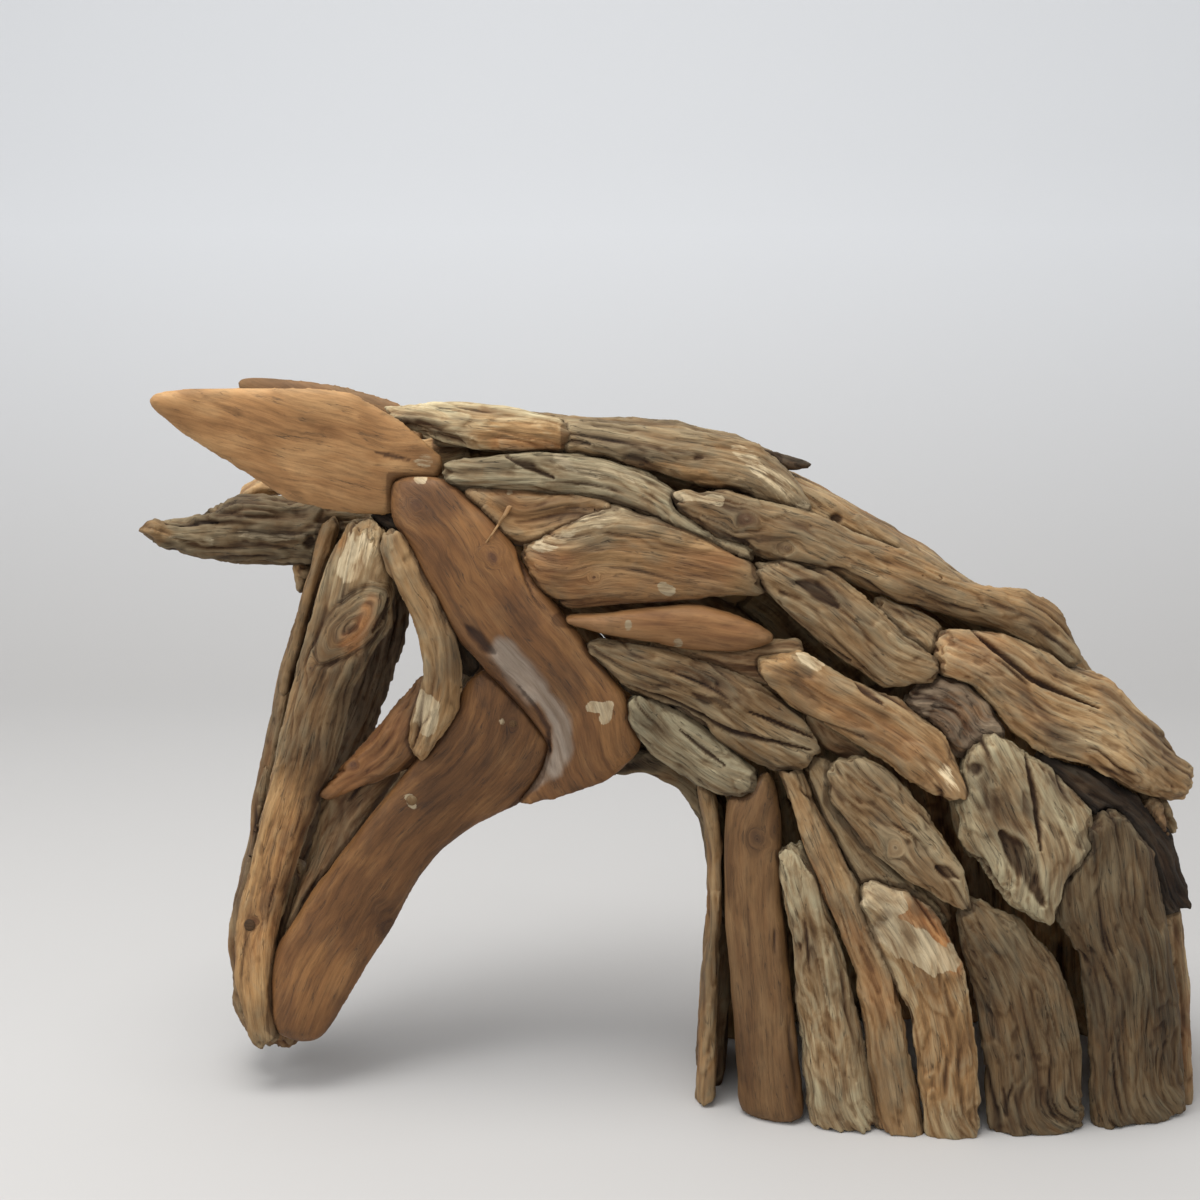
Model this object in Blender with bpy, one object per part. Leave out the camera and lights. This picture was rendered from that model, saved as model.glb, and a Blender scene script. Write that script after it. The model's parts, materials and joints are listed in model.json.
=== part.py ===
"""Driftwood horse head bust, built from weathered planks and roots.

The planks lie side by side over the form of a horse's head and arched neck. The horse looks along -X,
its near side faces -Y, and the neck is cut off flat at the floor, z = 0.

The side view is squared up, as a sculptor squares up a sketch: x and z in the lists below are squares
across and squares up on the sketch, and y is squares towards the far side. The sketch shows the horse
in perspective, from a little above the ears, so what lies deeper is drawn smaller. One square is a fixed
share of the overall height, so the pose keeps its proportions at any height.
"""

import math
import random
import zlib

import bmesh
import bpy
import numpy as np
from mathutils import Vector
from mathutils.bvhtree import BVHTree

# Driving dimensions, in metres.
HEIGHT = 0.608
PLANK_THICKNESS = 0.023
HEAVY_THICKNESS = 0.030
EAR_THICKNESS = 0.014
STRIP_DEPTH = 0.030
EDGE_STRIP_DEPTH = 0.040
SHARD_THICKNESS = 0.016
BROW_ROOT_THICKNESS = 0.048
FORELOCK_THICKNESS = 0.040
NOSE_STRIP_THICKNESS = 0.044
MUZZLE_THICKNESS = 0.056
KNOTTY_THICKNESS = 0.034
FIT_GAP = 0.0003

# The squared-up sketch, and the sight line down its middle: how long it is to the near cheek's plane,
# how far it tilts down, and where it meets that plane on the sketch and above the floor.
SQUARES_HIGH = 76
SQUARE = HEIGHT / SQUARES_HIGH
SIGHT_LENGTH = 153
SIGHT_TILT = math.radians(8)
SIGHT_SKETCH_Z = 51
SIGHT_Z = 54
CHEEK_PLANE_Y = -10

# Every plank is lofted through rings of corners, fewer for the plain ones. A worn end has a last ring
# with this share of the section, and reaches out by this share of the thickness.
CORNERS = 8
PLAIN_CORNERS = 6
FEWEST_RINGS = 5
MOST_RINGS = 9
EDGE_ROUNDNESS = 0.75
END_SHARE = 0.55
END_REACH = 0.22
LUMPINESS = 0.05
SHARP_ANGLE = math.radians(50)

# Where the saw leaves neighbouring faces this flat to each other, they become one face.
FLAT_ANGLE = math.radians(0.2)

# The horse's form, as the shell that the planks lie on: centre x, centre z, half depth in the side view
# and half width, all in squares, from the poll down to the floor and down to the muzzle.
NECK_FORM = [
    (-15, 55, 15.0, 7.0),
    (1, 50.5, 19.0, 9.0),
    (11, 50, 17.2, 9.6),
    (20, 43.5, 17.6, 10.6),
    (28, 37, 21.5, 12.0),
    (33, 28, 24.7, 13.2),
    (35.7, 18.5, 26.4, 14.0),
    (36, 0, 26.8, 14.5),
]
HEAD_FORM = [
    (-10, 58, 12.0, 7.5),
    (-16, 51, 12.5, 8.5),
    (-20, 39, 12.0, 7.6),
    (-25.5, 28, 9.8, 6.0),
    (-28.5, 19, 7.8, 5.0),
    (-30.5, 11, 6.2, 4.6),
    (-31.5, 5, 4.0, 4.0),
]
NECK_ROUNDNESS = 2.4
HEAD_ROUNDNESS = 4.0
LAST_SHARE = 0.96

# The far face bar leans on the ridge of the nose: it is drawn this share of the distance at which the
# two would just touch, and the saw takes off what overlaps.
LEAN_SHARE = 0.91

# How far the pieces across the neck reach from side to side, in squares.
CREST_TOP_BREADTH = 11.2
CREST_REAR_BREADTH = 15.2
THROAT_UPPER_BREADTH = 11.2
THROAT_LOWER_BREADTH = 12.5
BACK_UPPER_BREADTH = 15.8
BACK_LOWER_BREADTH = 9.2

# Colour, roughness of each finish.
FINISHES = {
    "sanded_teak": ((0.46, 0.25, 0.12), 0.62),
    "tan_wood": ((0.40, 0.26, 0.14), 0.70),
    "brown_wood": ((0.30, 0.20, 0.12), 0.75),
    "grey_wood": ((0.28, 0.23, 0.17), 0.80),
    "bleached_wood": ((0.45, 0.39, 0.29), 0.80),
    "dark_wood": ((0.14, 0.10, 0.075), 0.85),
}

NEAR = -1
FAR = 1


def curve_through(rows, count):
    """A smooth curve through the rows of numbers (Catmull-Rom), read at `count` even steps."""
    rows = np.asarray(rows, float)
    padded = np.vstack([2 * rows[0] - rows[1], rows, 2 * rows[-1] - rows[-2]])
    read = []
    for step in np.linspace(0, len(rows) - 1, count):
        i = min(int(step), len(rows) - 2)
        t = step - i
        a, b, c, d = padded[i : i + 4]
        straight = 2 * b + (c - a) * t
        bend = (2 * a - 5 * b + 4 * c - d) * t**2 + (3 * b - a - 3 * c + d) * t**3
        read.append((straight + bend) / 2)
    return np.array(read)


FORM_STEPS = 60
NECK_CURVE = curve_through(NECK_FORM, FORM_STEPS)
HEAD_CURVE = curve_through(HEAD_FORM, FORM_STEPS)


def half_width(x, z):
    """Half the width of the horse's form at a point of the side view, in squares."""
    widths = []
    for curve, power in ((NECK_CURVE, NECK_ROUNDNESS), (HEAD_CURVE, HEAD_ROUNDNESS)):
        away = np.hypot(curve[:, 0] - x, curve[:, 1] - z)
        nearest = int(np.argmin(away / curve[:, 2]))
        share = min(away[nearest] / curve[nearest, 2], LAST_SHARE)
        widths.append(curve[nearest, 3] * (1 - share**power) ** (1 / power))
    return max(widths)


def true_place(x, y, z):
    """Where a point of the sketch at this depth really is, in metres."""
    level, down = math.cos(SIGHT_TILT), math.sin(SIGHT_TILT)
    above = z - SIGHT_SKETCH_Z
    eye = Vector((0, CHEEK_PLANE_Y - SIGHT_LENGTH * level, SIGHT_Z + SIGHT_LENGTH * down))
    sight = Vector((x, SIGHT_LENGTH * level + above * down, above * level - SIGHT_LENGTH * down))
    return (eye + sight * (y - eye.y) / sight.y) * SQUARE


def floor_block():
    """What the saw takes off below the floor: a cube far wider than the bust, with its top at z = 0."""
    block = bmesh.new()
    bmesh.ops.create_cube(block, size=4 * HEIGHT)
    bmesh.ops.translate(block, verts=block.verts[:], vec=(0, 0, -2 * HEIGHT))
    return block


class Plank:
    """One piece of driftwood, given by both edges of its outline in the side view."""

    def __init__(
        self,
        name,
        finish,
        edges,
        side=NEAR,
        depth=None,
        thickness=PLANK_THICKNESS,
        rise=0.0,
        sawn=False,
        plain=False,
    ):
        """edges holds (x, z) of one edge and (x, z) of the other, station by station along the piece.

        side is the side of the horse that it lies on. depth is None for a piece that lies on the form,
        or its own y at both ends. rise is how proud it stands of the form, in squares. Its ends are
        either sawn or worn round. A plain piece has fewer corners round its section.
        """
        self.name = name
        self.finish = finish
        self.edges = edges
        self.side = side
        self.depth = depth
        self.thickness = thickness
        self.rise = rise
        self.sawn = sawn
        self.corners = PLAIN_CORNERS if plain else CORNERS

    def stations(self):
        """Centre, half-width vector, normal and half thickness of every ring, in metres."""
        count = min(max(len(self.edges), FEWEST_RINGS), MOST_RINGS)
        read = curve_through(self.edges, count)
        ends = []
        for i, (x1, z1, x2, z2) in enumerate(read):
            if self.depth is None:
                first, second = self.on_form(x1, z1), self.on_form(x2, z2)
            else:
                y = self.depth[0] + (self.depth[1] - self.depth[0]) * i / (count - 1)
                first, second = true_place(x1, y, z1), true_place(x2, y, z2)
            ends.append((first, second))
        centres = [(first + second) / 2 for first, second in ends]
        lumps = random.Random(zlib.crc32(self.name.encode()))
        found = []
        for i, (first, second) in enumerate(ends):
            along = centres[min(i + 1, count - 1)] - centres[max(i - 1, 0)]
            normal = along.cross(second - first).normalized()
            if normal.y * self.side < 0:
                normal.negate()
            half_thickness = self.thickness / 2 * (1 + lumps.uniform(-LUMPINESS, LUMPINESS))
            centre = centres[i] + normal * self.rise * SQUARE
            found.append((centre, (second - first) / 2, normal, half_thickness))
        return found

    def on_form(self, x, z):
        """A point of the form's near side, or its mirror image on the far side."""
        point = true_place(x, -half_width(x, z), z)
        point.y *= -self.side
        return point

    def rings(self, grow):
        """Every ring's corners, with a smaller ring past each worn end."""
        stations = self.stations()
        rings = [self.ring(*station, grow) for station in stations]
        for end, inner in ((0, 1), (-1, -2)):
            centre, half_width_vector, normal, half_thickness = stations[end]
            out = (centre - stations[inner][0]).normalized()
            if self.sawn:
                tip = self.ring(centre + out * grow, half_width_vector, normal, half_thickness, grow)
                rings[end] = tip
                continue
            reach = END_REACH * 2 * min(half_width_vector.length, half_thickness) + grow
            tip = (centre + out * reach, half_width_vector * END_SHARE, normal, half_thickness * END_SHARE)
            rings.insert(0 if end == 0 else len(rings), self.ring(*tip, grow))
        return rings

    def ring(self, centre, half_width_vector, normal, half_thickness, grow):
        """The corners of one ring, grown all round by `grow` metres."""
        across = half_width_vector.normalized()
        corners = []
        for k in range(self.corners):
            angle = math.tau * k / self.corners
            u = math.copysign(abs(math.cos(angle)) ** EDGE_ROUNDNESS, math.cos(angle))
            v = math.copysign(abs(math.sin(angle)) ** EDGE_ROUNDNESS, math.sin(angle))
            half = half_width_vector.length + grow
            corners.append(centre + across * u * half + normal * v * (half_thickness + grow))
        return corners

    def body(self, grow=0.0):
        """The closed loft through the rings, as a bmesh."""
        mesh = bmesh.new()
        rings = [[mesh.verts.new(corner) for corner in ring] for ring in self.rings(grow)]
        for ring, following in zip(rings, rings[1:]):
            for k in range(self.corners):
                after = (k + 1) % self.corners
                mesh.faces.new((ring[k], ring[after], following[after], following[k]))
        mesh.faces.new(rings[0])
        mesh.faces.new(rings[-1])
        bmesh.ops.triangulate(mesh, faces=mesh.faces[:])
        bmesh.ops.recalc_face_normals(mesh, faces=mesh.faces[:])
        return mesh


def cross_plank(name, finish, edges, breadth, middle_y=0.0):
    """A plain sawn piece across the neck, as wide from side to side as `breadth` squares."""
    across = (middle_y, middle_y)
    return Plank(name, finish, edges, depth=across, thickness=breadth * SQUARE, sawn=True, plain=True)


def head_planks():
    """The head: cheeks, ears, face bars, jaws, and the roots of the brow, from the front ones back."""
    cheek = [
        (-20.8, 63.2, -15.0, 63.0),
        (-20.8, 58.5, -10.3, 59.0),
        (-18.3, 52.8, -6.5, 53.8),
        (-14.3, 46.9, -1.5, 47.5),
        (-8.8, 41.5, 2.5, 42.2),
        (-4.9, 37.0, 4.2, 38.8),
        (-6.8, 33.2, 4.5, 36.4),
        (-8.8, 30.8, 1.5, 34.0),
    ]
    near_ear = [
        (-44.9, 71.6, -44.7, 70.2),
        (-41.0, 72.2, -42.0, 67.6),
        (-35.0, 72.3, -36.8, 64.4),
        (-29.0, 72.4, -31.0, 60.7),
        (-24.8, 72.0, -25.5, 59.5),
        (-20.0, 69.2, -20.4, 59.3),
        (-15.6, 65.3, -17.5, 61.0),
    ]
    far_ear = [
        (-36.0, 73.2, -35.8, 71.8),
        (-31.0, 73.2, -31.5, 68.5),
        (-25.5, 72.5, -26.0, 64.0),
        (-20.0, 71.0, -20.5, 62.0),
        (-18.0, 69.0, -17.5, 63.0),
    ]
    face_bar = [
        (-25.0, 58.6, -21.6, 57.5),
        (-27.0, 55.0, -20.8, 54.8),
        (-28.5, 51.0, -20.1, 50.7),
        (-29.7, 46.0, -22.2, 46.0),
        (-31.0, 41.5, -25.5, 41.0),
        (-32.2, 36.0, -26.4, 35.5),
        (-33.8, 29.5, -28.8, 30.0),
        (-35.2, 22.5, -30.6, 22.5),
        (-36.5, 17.0, -33.2, 16.5),
        (-36.4, 12.5, -32.8, 11.8),
        (-35.0, 8.0, -32.0, 7.5),
    ]
    far_face_bar = [
        (-25.5, 58.5, -20.5, 58.5),
        (-28.2, 53.5, -18.8, 53.5),
        (-29.6, 47.5, -19.4, 46.8),
        (-32.2, 36.0, -23.4, 35.0),
        (-34.5, 26.0, -28.6, 26.0),
        (-36.0, 17.0, -32.6, 17.0),
        (-35.4, 11.0, -32.4, 10.5),
    ]
    cheek_strap = [
        (-21.6, 56.4, -19.8, 57.8),
        (-20.8, 54.0, -18.2, 55.0),
        (-19.0, 51.0, -16.4, 51.8),
        (-17.5, 47.5, -14.6, 47.8),
        (-17.3, 44.0, -13.8, 44.2),
        (-18.2, 40.5, -14.2, 40.4),
        (-18.9, 37.2, -15.8, 37.6),
        (-18.4, 35.8, -17.4, 35.9),
    ]
    jaw = [
        (-9.5, 45.5, -2.8, 34.0),
        (-12.8, 43.8, -7.0, 31.0),
        (-16.0, 39.0, -11.9, 28.8),
        (-19.4, 34.0, -15.7, 26.0),
        (-24.3, 28.0, -18.8, 22.2),
        (-28.8, 22.2, -20.8, 17.8),
        (-32.6, 16.2, -23.6, 13.6),
        (-33.6, 9.0, -27.6, 7.2),
    ]
    far_jaw = [
        (-12.5, 48.0, -3.5, 39.0),
        (-15.6, 43.0, -6.8, 34.6),
        (-18.6, 36.0, -13.0, 30.0),
        (-25.3, 25.0, -20.3, 23.5),
        (-30.5, 18.5, -23.8, 17.0),
        (-33.0, 8.5, -28.6, 7.5),
    ]
    mouth_wedge = [
        (-27.9, 32.0, -27.5, 30.9),
        (-25.7, 34.6, -24.4, 32.0),
        (-22.3, 37.8, -20.8, 33.0),
        (-20.0, 40.8, -18.2, 34.6),
        (-17.8, 43.4, -15.8, 38.0),
    ]
    mouth_slat = [
        (-27.6, 32.5, -18.0, 37.0),
        (-28.9, 27.5, -22.0, 30.0),
        (-30.2, 22.5, -25.8, 24.0),
        (-31.5, 17.5, -28.5, 18.0),
    ]
    nose_strip_near = [
        (-27.8, 58.6, -26.0, 58.4),
        (-28.8, 54.5, -27.5, 54.0),
        (-29.9, 50.5, -28.8, 50.2),
        (-31.1, 46.0, -30.0, 45.5),
        (-31.7, 42.0, -31.1, 41.6),
    ]
    nose_strip_middle = [
        (-27.6, 58.0, -26.2, 57.8),
        (-29.8, 51.0, -28.2, 50.5),
        (-31.6, 45.0, -29.8, 44.5),
        (-34.5, 31.0, -32.4, 31.0),
        (-36.9, 17.5, -35.2, 17.2),
        (-36.2, 11.0, -34.6, 10.8),
        (-34.2, 7.0, -33.2, 7.4),
    ]
    brow_root = [
        (-45.3, 58.8, -45.0, 57.8),
        (-43.0, 59.2, -43.0, 55.8),
        (-39.8, 59.8, -39.8, 55.2),
        (-35.8, 61.3, -36.0, 54.9),
        (-31.5, 61.3, -32.0, 54.5),
        (-26.8, 61.0, -27.6, 54.7),
        (-21.5, 60.3, -23.0, 55.5),
    ]
    brow_shard = [
        (-31.1, 55.8, -28.4, 56.3),
        (-30.4, 53.2, -28.8, 53.8),
        (-30.0, 51.8, -29.6, 52.0),
    ]
    forelock_root = [
        (-36.4, 60.7, -35.0, 60.4),
        (-35.7, 62.4, -33.6, 61.2),
        (-32.5, 64.0, -31.0, 61.8),
        (-25.0, 65.2, -24.5, 61.2),
        (-13.5, 68.0, -13.5, 63.5),
    ]
    muzzle_block = [
        (-33.2, 24.0, -29.5, 24.0),
        (-34.6, 16.5, -27.2, 15.0),
        (-34.0, 8.5, -29.5, 7.5),
    ]
    beside_nose = LEAN_SHARE * (NOSE_STRIP_THICKNESS + HEAVY_THICKNESS) / 2 / SQUARE
    return [
        Plank("cheek_strap", "tan_wood", cheek_strap, rise=1.0),
        Plank("cheek_slab_near", "sanded_teak", cheek, thickness=HEAVY_THICKNESS, rise=0.6, sawn=True),
        Plank("ear_near", "sanded_teak", near_ear, depth=(-11.5, -6.2), thickness=EAR_THICKNESS),
        Plank("face_bar_near", "grey_wood", face_bar, thickness=HEAVY_THICKNESS),
        Plank("jaw_slab_near", "sanded_teak", jaw, thickness=HEAVY_THICKNESS),
        Plank("mouth_wedge", "tan_wood", mouth_wedge, rise=-0.6, plain=True),
        Plank(
            "nose_strip_near",
            "tan_wood",
            nose_strip_near,
            depth=(-4.5, -4.5),
            thickness=STRIP_DEPTH,
            plain=True,
        ),
        Plank("cheek_slab_far", "tan_wood", cheek[:-1], FAR, thickness=HEAVY_THICKNESS, rise=0.4),
        Plank(
            "ear_far",
            "sanded_teak",
            far_ear,
            FAR,
            depth=(11.0, 6.2),
            thickness=EAR_THICKNESS,
            plain=True,
        ),
        Plank(
            "face_bar_far",
            "dark_wood",
            far_face_bar,
            depth=(beside_nose + 2, beside_nose),
            thickness=HEAVY_THICKNESS,
            plain=True,
        ),
        Plank("jaw_slab_far", "brown_wood", far_jaw, FAR, thickness=HEAVY_THICKNESS, plain=True),
        Plank("brow_root", "grey_wood", brow_root, depth=(-2.5, -1.0), thickness=BROW_ROOT_THICKNESS),
        Plank(
            "nose_strip_middle",
            "brown_wood",
            nose_strip_middle,
            depth=(0, 0),
            thickness=NOSE_STRIP_THICKNESS,
        ),
        Plank(
            "forelock_root",
            "tan_wood",
            forelock_root,
            depth=(4.0, 0.5),
            thickness=FORELOCK_THICKNESS,
            plain=True,
        ),
        Plank("mouth_slat", "brown_wood", mouth_slat, depth=(-4.0, -3.4), plain=True),
        Plank(
            "brow_shard",
            "tan_wood",
            brow_shard,
            depth=(-2.0, -2.0),
            thickness=SHARD_THICKNESS,
            plain=True,
        ),
        Plank(
            "muzzle_block",
            "brown_wood",
            muzzle_block,
            depth=(0, 0),
            thickness=MUZZLE_THICKNESS,
            plain=True,
        ),
    ]


def crest_planks():
    """The crest of the neck, where a mane would be, from the poll back to the root's knob."""
    front = [
        (-21.7, 70.3, -19.5, 68.5),
        (-17.0, 70.4, -15.8, 66.8),
        (-12.8, 70.4, -12.5, 65.9),
        (-8.0, 69.8, -8.0, 65.6),
        (-3.8, 68.9, -3.8, 65.8),
    ]
    middle = [
        (-4.0, 67.8, -3.4, 65.8),
        (1.0, 68.0, 0.5, 65.2),
        (6.0, 67.7, 5.5, 63.7),
        (11.2, 67.2, 10.7, 62.1),
        (15.7, 66.3, 15.0, 61.4),
        (18.5, 63.2, 17.5, 60.5),
        (20.6, 59.8, 20.0, 59.3),
    ]
    long = [
        (8.0, 61.8, 7.5, 59.8),
        (12.5, 62.0, 11.5, 56.8),
        (19.0, 60.2, 17.8, 54.7),
        (25.0, 57.5, 23.5, 53.4),
        (30.5, 55.4, 29.5, 51.1),
        (35.8, 52.2, 34.5, 49.7),
        (41.2, 51.3, 40.0, 48.0),
        (44.4, 49.9, 43.0, 45.8),
        (47.0, 45.2, 45.8, 44.0),
    ]
    top = [
        (-17.0, 69.6, -16.0, 66.0),
        (-10.0, 69.8, -10.0, 66.0),
        (-4.0, 69.5, -4.0, 65.6),
        (2.0, 69.3, 2.0, 65.2),
        (8.0, 68.7, 7.5, 64.6),
        (14.0, 67.3, 13.0, 63.0),
        (17.5, 65.8, 16.5, 62.0),
    ]
    spike = [
        (14.5, 66.8, 15.0, 64.6),
        (18.6, 65.6, 18.6, 64.0),
        (21.1, 64.8, 21.1, 64.2),
    ]
    rear = [
        (16.0, 65.2, 15.5, 60.5),
        (22.2, 62.4, 20.5, 57.5),
        (27.0, 59.7, 25.0, 55.0),
        (32.0, 56.6, 30.0, 52.2),
        (36.5, 53.2, 34.5, 49.0),
        (42.5, 49.5, 40.0, 45.5),
    ]
    return [
        Plank("crest_front", "bleached_wood", front, rise=0.4, sawn=True),
        Plank("crest_middle", "grey_wood", middle, rise=0.6),
        Plank("crest_long", "grey_wood", long, thickness=KNOTTY_THICKNESS, rise=0.4),
        cross_plank("crest_top", "grey_wood", top, CREST_TOP_BREADTH, middle_y=0.3),
        Plank(
            "crest_spike",
            "dark_wood",
            spike,
            depth=(-2.5, -2.0),
            thickness=SHARD_THICKNESS,
            plain=True,
        ),
        cross_plank("crest_rear", "tan_wood", rear, CREST_REAR_BREADTH),
    ]


def neck_planks():
    """The near side of the neck, from the planks that lie on top to the ones that they cover."""
    sliver = [
        (-4.1, 49.6, -3.9, 49.2),
        (0.0, 49.6, 0.0, 47.9),
        (5.0, 50.4, 5.0, 46.9),
        (10.0, 50.8, 10.0, 46.0),
        (14.5, 49.4, 13.8, 45.8),
        (17.6, 47.6, 16.8, 46.7),
    ]
    bleached = [
        (3.5, 42.0, 3.2, 38.8),
        (6.0, 41.4, 5.5, 35.8),
        (10.0, 39.5, 9.0, 33.7),
        (13.5, 36.3, 12.2, 31.9),
        (15.8, 34.2, 14.8, 31.6),
    ]
    cracked = [
        (-1.0, 47.3, -0.6, 45.5),
        (2.2, 46.8, 2.5, 42.8),
        (6.5, 46.3, 6.8, 40.6),
        (11.4, 44.9, 10.5, 38.6),
        (16.2, 42.5, 14.2, 35.7),
        (20.2, 39.6, 17.6, 34.0),
        (21.8, 37.0, 19.8, 34.2),
    ]
    leaf = [
        (-7.4, 56.7, -5.3, 51.8),
        (-3.8, 58.7, -3.0, 50.2),
        (1.2, 60.5, 1.2, 50.4),
        (5.8, 59.3, 5.7, 50.7),
        (10.2, 57.3, 10.7, 51.3),
        (14.8, 55.2, 15.5, 51.4),
    ]
    shoulder = [
        (34.6, 48.2, 33.8, 43.7),
        (39.0, 47.8, 37.2, 42.6),
        (43.5, 46.2, 40.5, 38.3),
        (47.5, 44.3, 44.5, 35.2),
        (50.5, 43.0, 48.5, 34.2),
        (55.0, 38.5, 52.5, 31.8),
        (58.0, 34.0, 56.5, 31.0),
    ]
    patched = [
        (16.2, 45.2, 16.5, 43.4),
        (20.0, 45.9, 19.0, 40.6),
        (25.2, 43.0, 23.6, 38.0),
        (30.0, 41.3, 28.2, 35.0),
        (34.2, 37.5, 31.0, 33.0),
        (36.1, 32.6, 35.0, 31.0),
    ]
    scarred = [
        (15.0, 54.4, 15.5, 52.8),
        (18.5, 55.1, 17.5, 50.6),
        (23.2, 53.9, 21.2, 47.3),
        (26.8, 50.9, 25.0, 44.4),
        (30.8, 47.2, 28.2, 42.0),
        (33.8, 44.9, 32.2, 42.6),
    ]
    square_cut = [
        (26.2, 35.4, 22.9, 35.1),
        (28.8, 34.2, 22.7, 31.0),
        (32.2, 31.0, 26.2, 26.7),
        (34.6, 27.2, 30.2, 23.6),
        (36.2, 24.2, 33.6, 21.5),
        (36.8, 20.6, 35.7, 20.0),
    ]
    forked = [
        (36.2, 35.3, 40.0, 37.6),
        (35.3, 31.0, 45.0, 34.2),
        (35.8, 27.2, 49.2, 30.2),
        (38.5, 23.7, 49.5, 26.5),
        (41.0, 20.5, 46.2, 23.2),
        (44.0, 19.0, 45.2, 19.8),
    ]
    pale_chip = [
        (27.4, 23.1, 25.8, 20.6),
        (30.8, 22.2, 26.6, 18.2),
        (33.8, 19.8, 28.4, 15.0),
        (36.2, 14.8, 30.5, 10.7),
        (37.5, 7.0, 31.6, 5.0),
        (38.0, -4.0, 32.4, -4.0),
    ]
    upright_knot = [
        (12.9, 32.2, 17.2, 34.2),
        (12.6, 28.5, 18.2, 29.5),
        (12.7, 20.0, 18.3, 20.5),
        (13.5, 10.0, 19.5, 10.0),
        (14.2, -4.0, 21.0, -4.0),
    ]
    upright_grey = [
        (17.8, 25.9, 20.4, 26.0),
        (18.4, 21.8, 22.3, 22.5),
        (19.5, 12.0, 25.3, 12.5),
        (21.0, -4.0, 28.5, -4.0),
    ]
    upright_edge = [
        (9.8, 33.2, 11.2, 32.6),
        (10.9, 24.5, 12.3, 24.2),
        (10.2, 14.0, 11.6, 14.0),
        (9.4, -4.0, 11.2, -4.0),
    ]
    slant_tan = [
        (17.9, 34.0, 20.0, 34.4),
        (20.6, 25.8, 24.0, 26.2),
        (22.8, 20.5, 26.4, 21.5),
        (25.6, 14.0, 29.4, 14.5),
        (28.0, -4.0, 32.8, -4.0),
    ]
    slant_grey = [
        (20.0, 35.4, 23.2, 34.8),
        (23.0, 27.5, 27.0, 27.5),
        (28.0, 17.0, 35.0, 19.0),
    ]
    corner = [
        (46.4, 27.2, 52.0, 30.0),
        (45.0, 24.2, 55.0, 26.0),
        (45.2, 19.5, 56.5, 20.5),
        (47.8, 15.5, 57.2, 14.8),
        (48.8, 7.0, 57.8, 7.0),
        (49.2, -4.0, 58.2, -4.0),
    ]
    foot = [
        (37.8, 21.2, 35.7, 19.2),
        (42.2, 19.0, 36.1, 15.5),
        (46.0, 14.8, 37.3, 10.5),
        (48.2, 7.5, 38.3, 4.5),
        (48.5, -4.0, 38.6, -4.0),
    ]
    poll = [
        (-15.4, 64.7, -14.7, 61.8),
        (-8.5, 65.8, -8.5, 61.8),
        (-2.0, 65.6, -2.0, 61.2),
        (5.0, 64.0, 3.5, 59.3),
        (11.5, 60.0, 10.2, 56.5),
        (15.5, 55.8, 14.8, 54.5),
    ]
    poll_lower = [
        (-14.2, 62.4, -12.0, 60.5),
        (-8.5, 62.1, -8.0, 56.2),
        (-3.0, 62.1, -3.8, 57.0),
        (2.0, 60.5, 0.5, 58.5),
    ]
    sunk_brown = [
        (5.0, 47.0, 5.0, 45.2),
        (11.0, 46.2, 10.5, 43.2),
        (17.0, 47.0, 16.5, 41.5),
        (20.0, 47.0, 20.5, 41.0),
    ]
    sunk_grey = [
        (27.2, 51.6, 28.2, 48.5),
        (30.5, 51.0, 30.5, 46.5),
        (33.0, 49.8, 33.2, 44.8),
        (35.2, 47.0, 34.5, 44.2),
    ]
    burr = [
        (31.2, 42.0, 32.5, 39.0),
        (34.5, 43.7, 34.0, 37.5),
        (38.5, 42.0, 36.2, 35.0),
        (40.5, 37.5, 38.5, 34.2),
    ]
    sunk_dark = [
        (44.5, 36.2, 43.5, 33.5),
        (49.0, 34.5, 47.0, 30.5),
        (53.5, 32.0, 50.5, 27.2),
        (57.5, 28.0, 54.5, 23.0),
        (59.5, 21.0, 56.5, 19.0),
    ]
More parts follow.
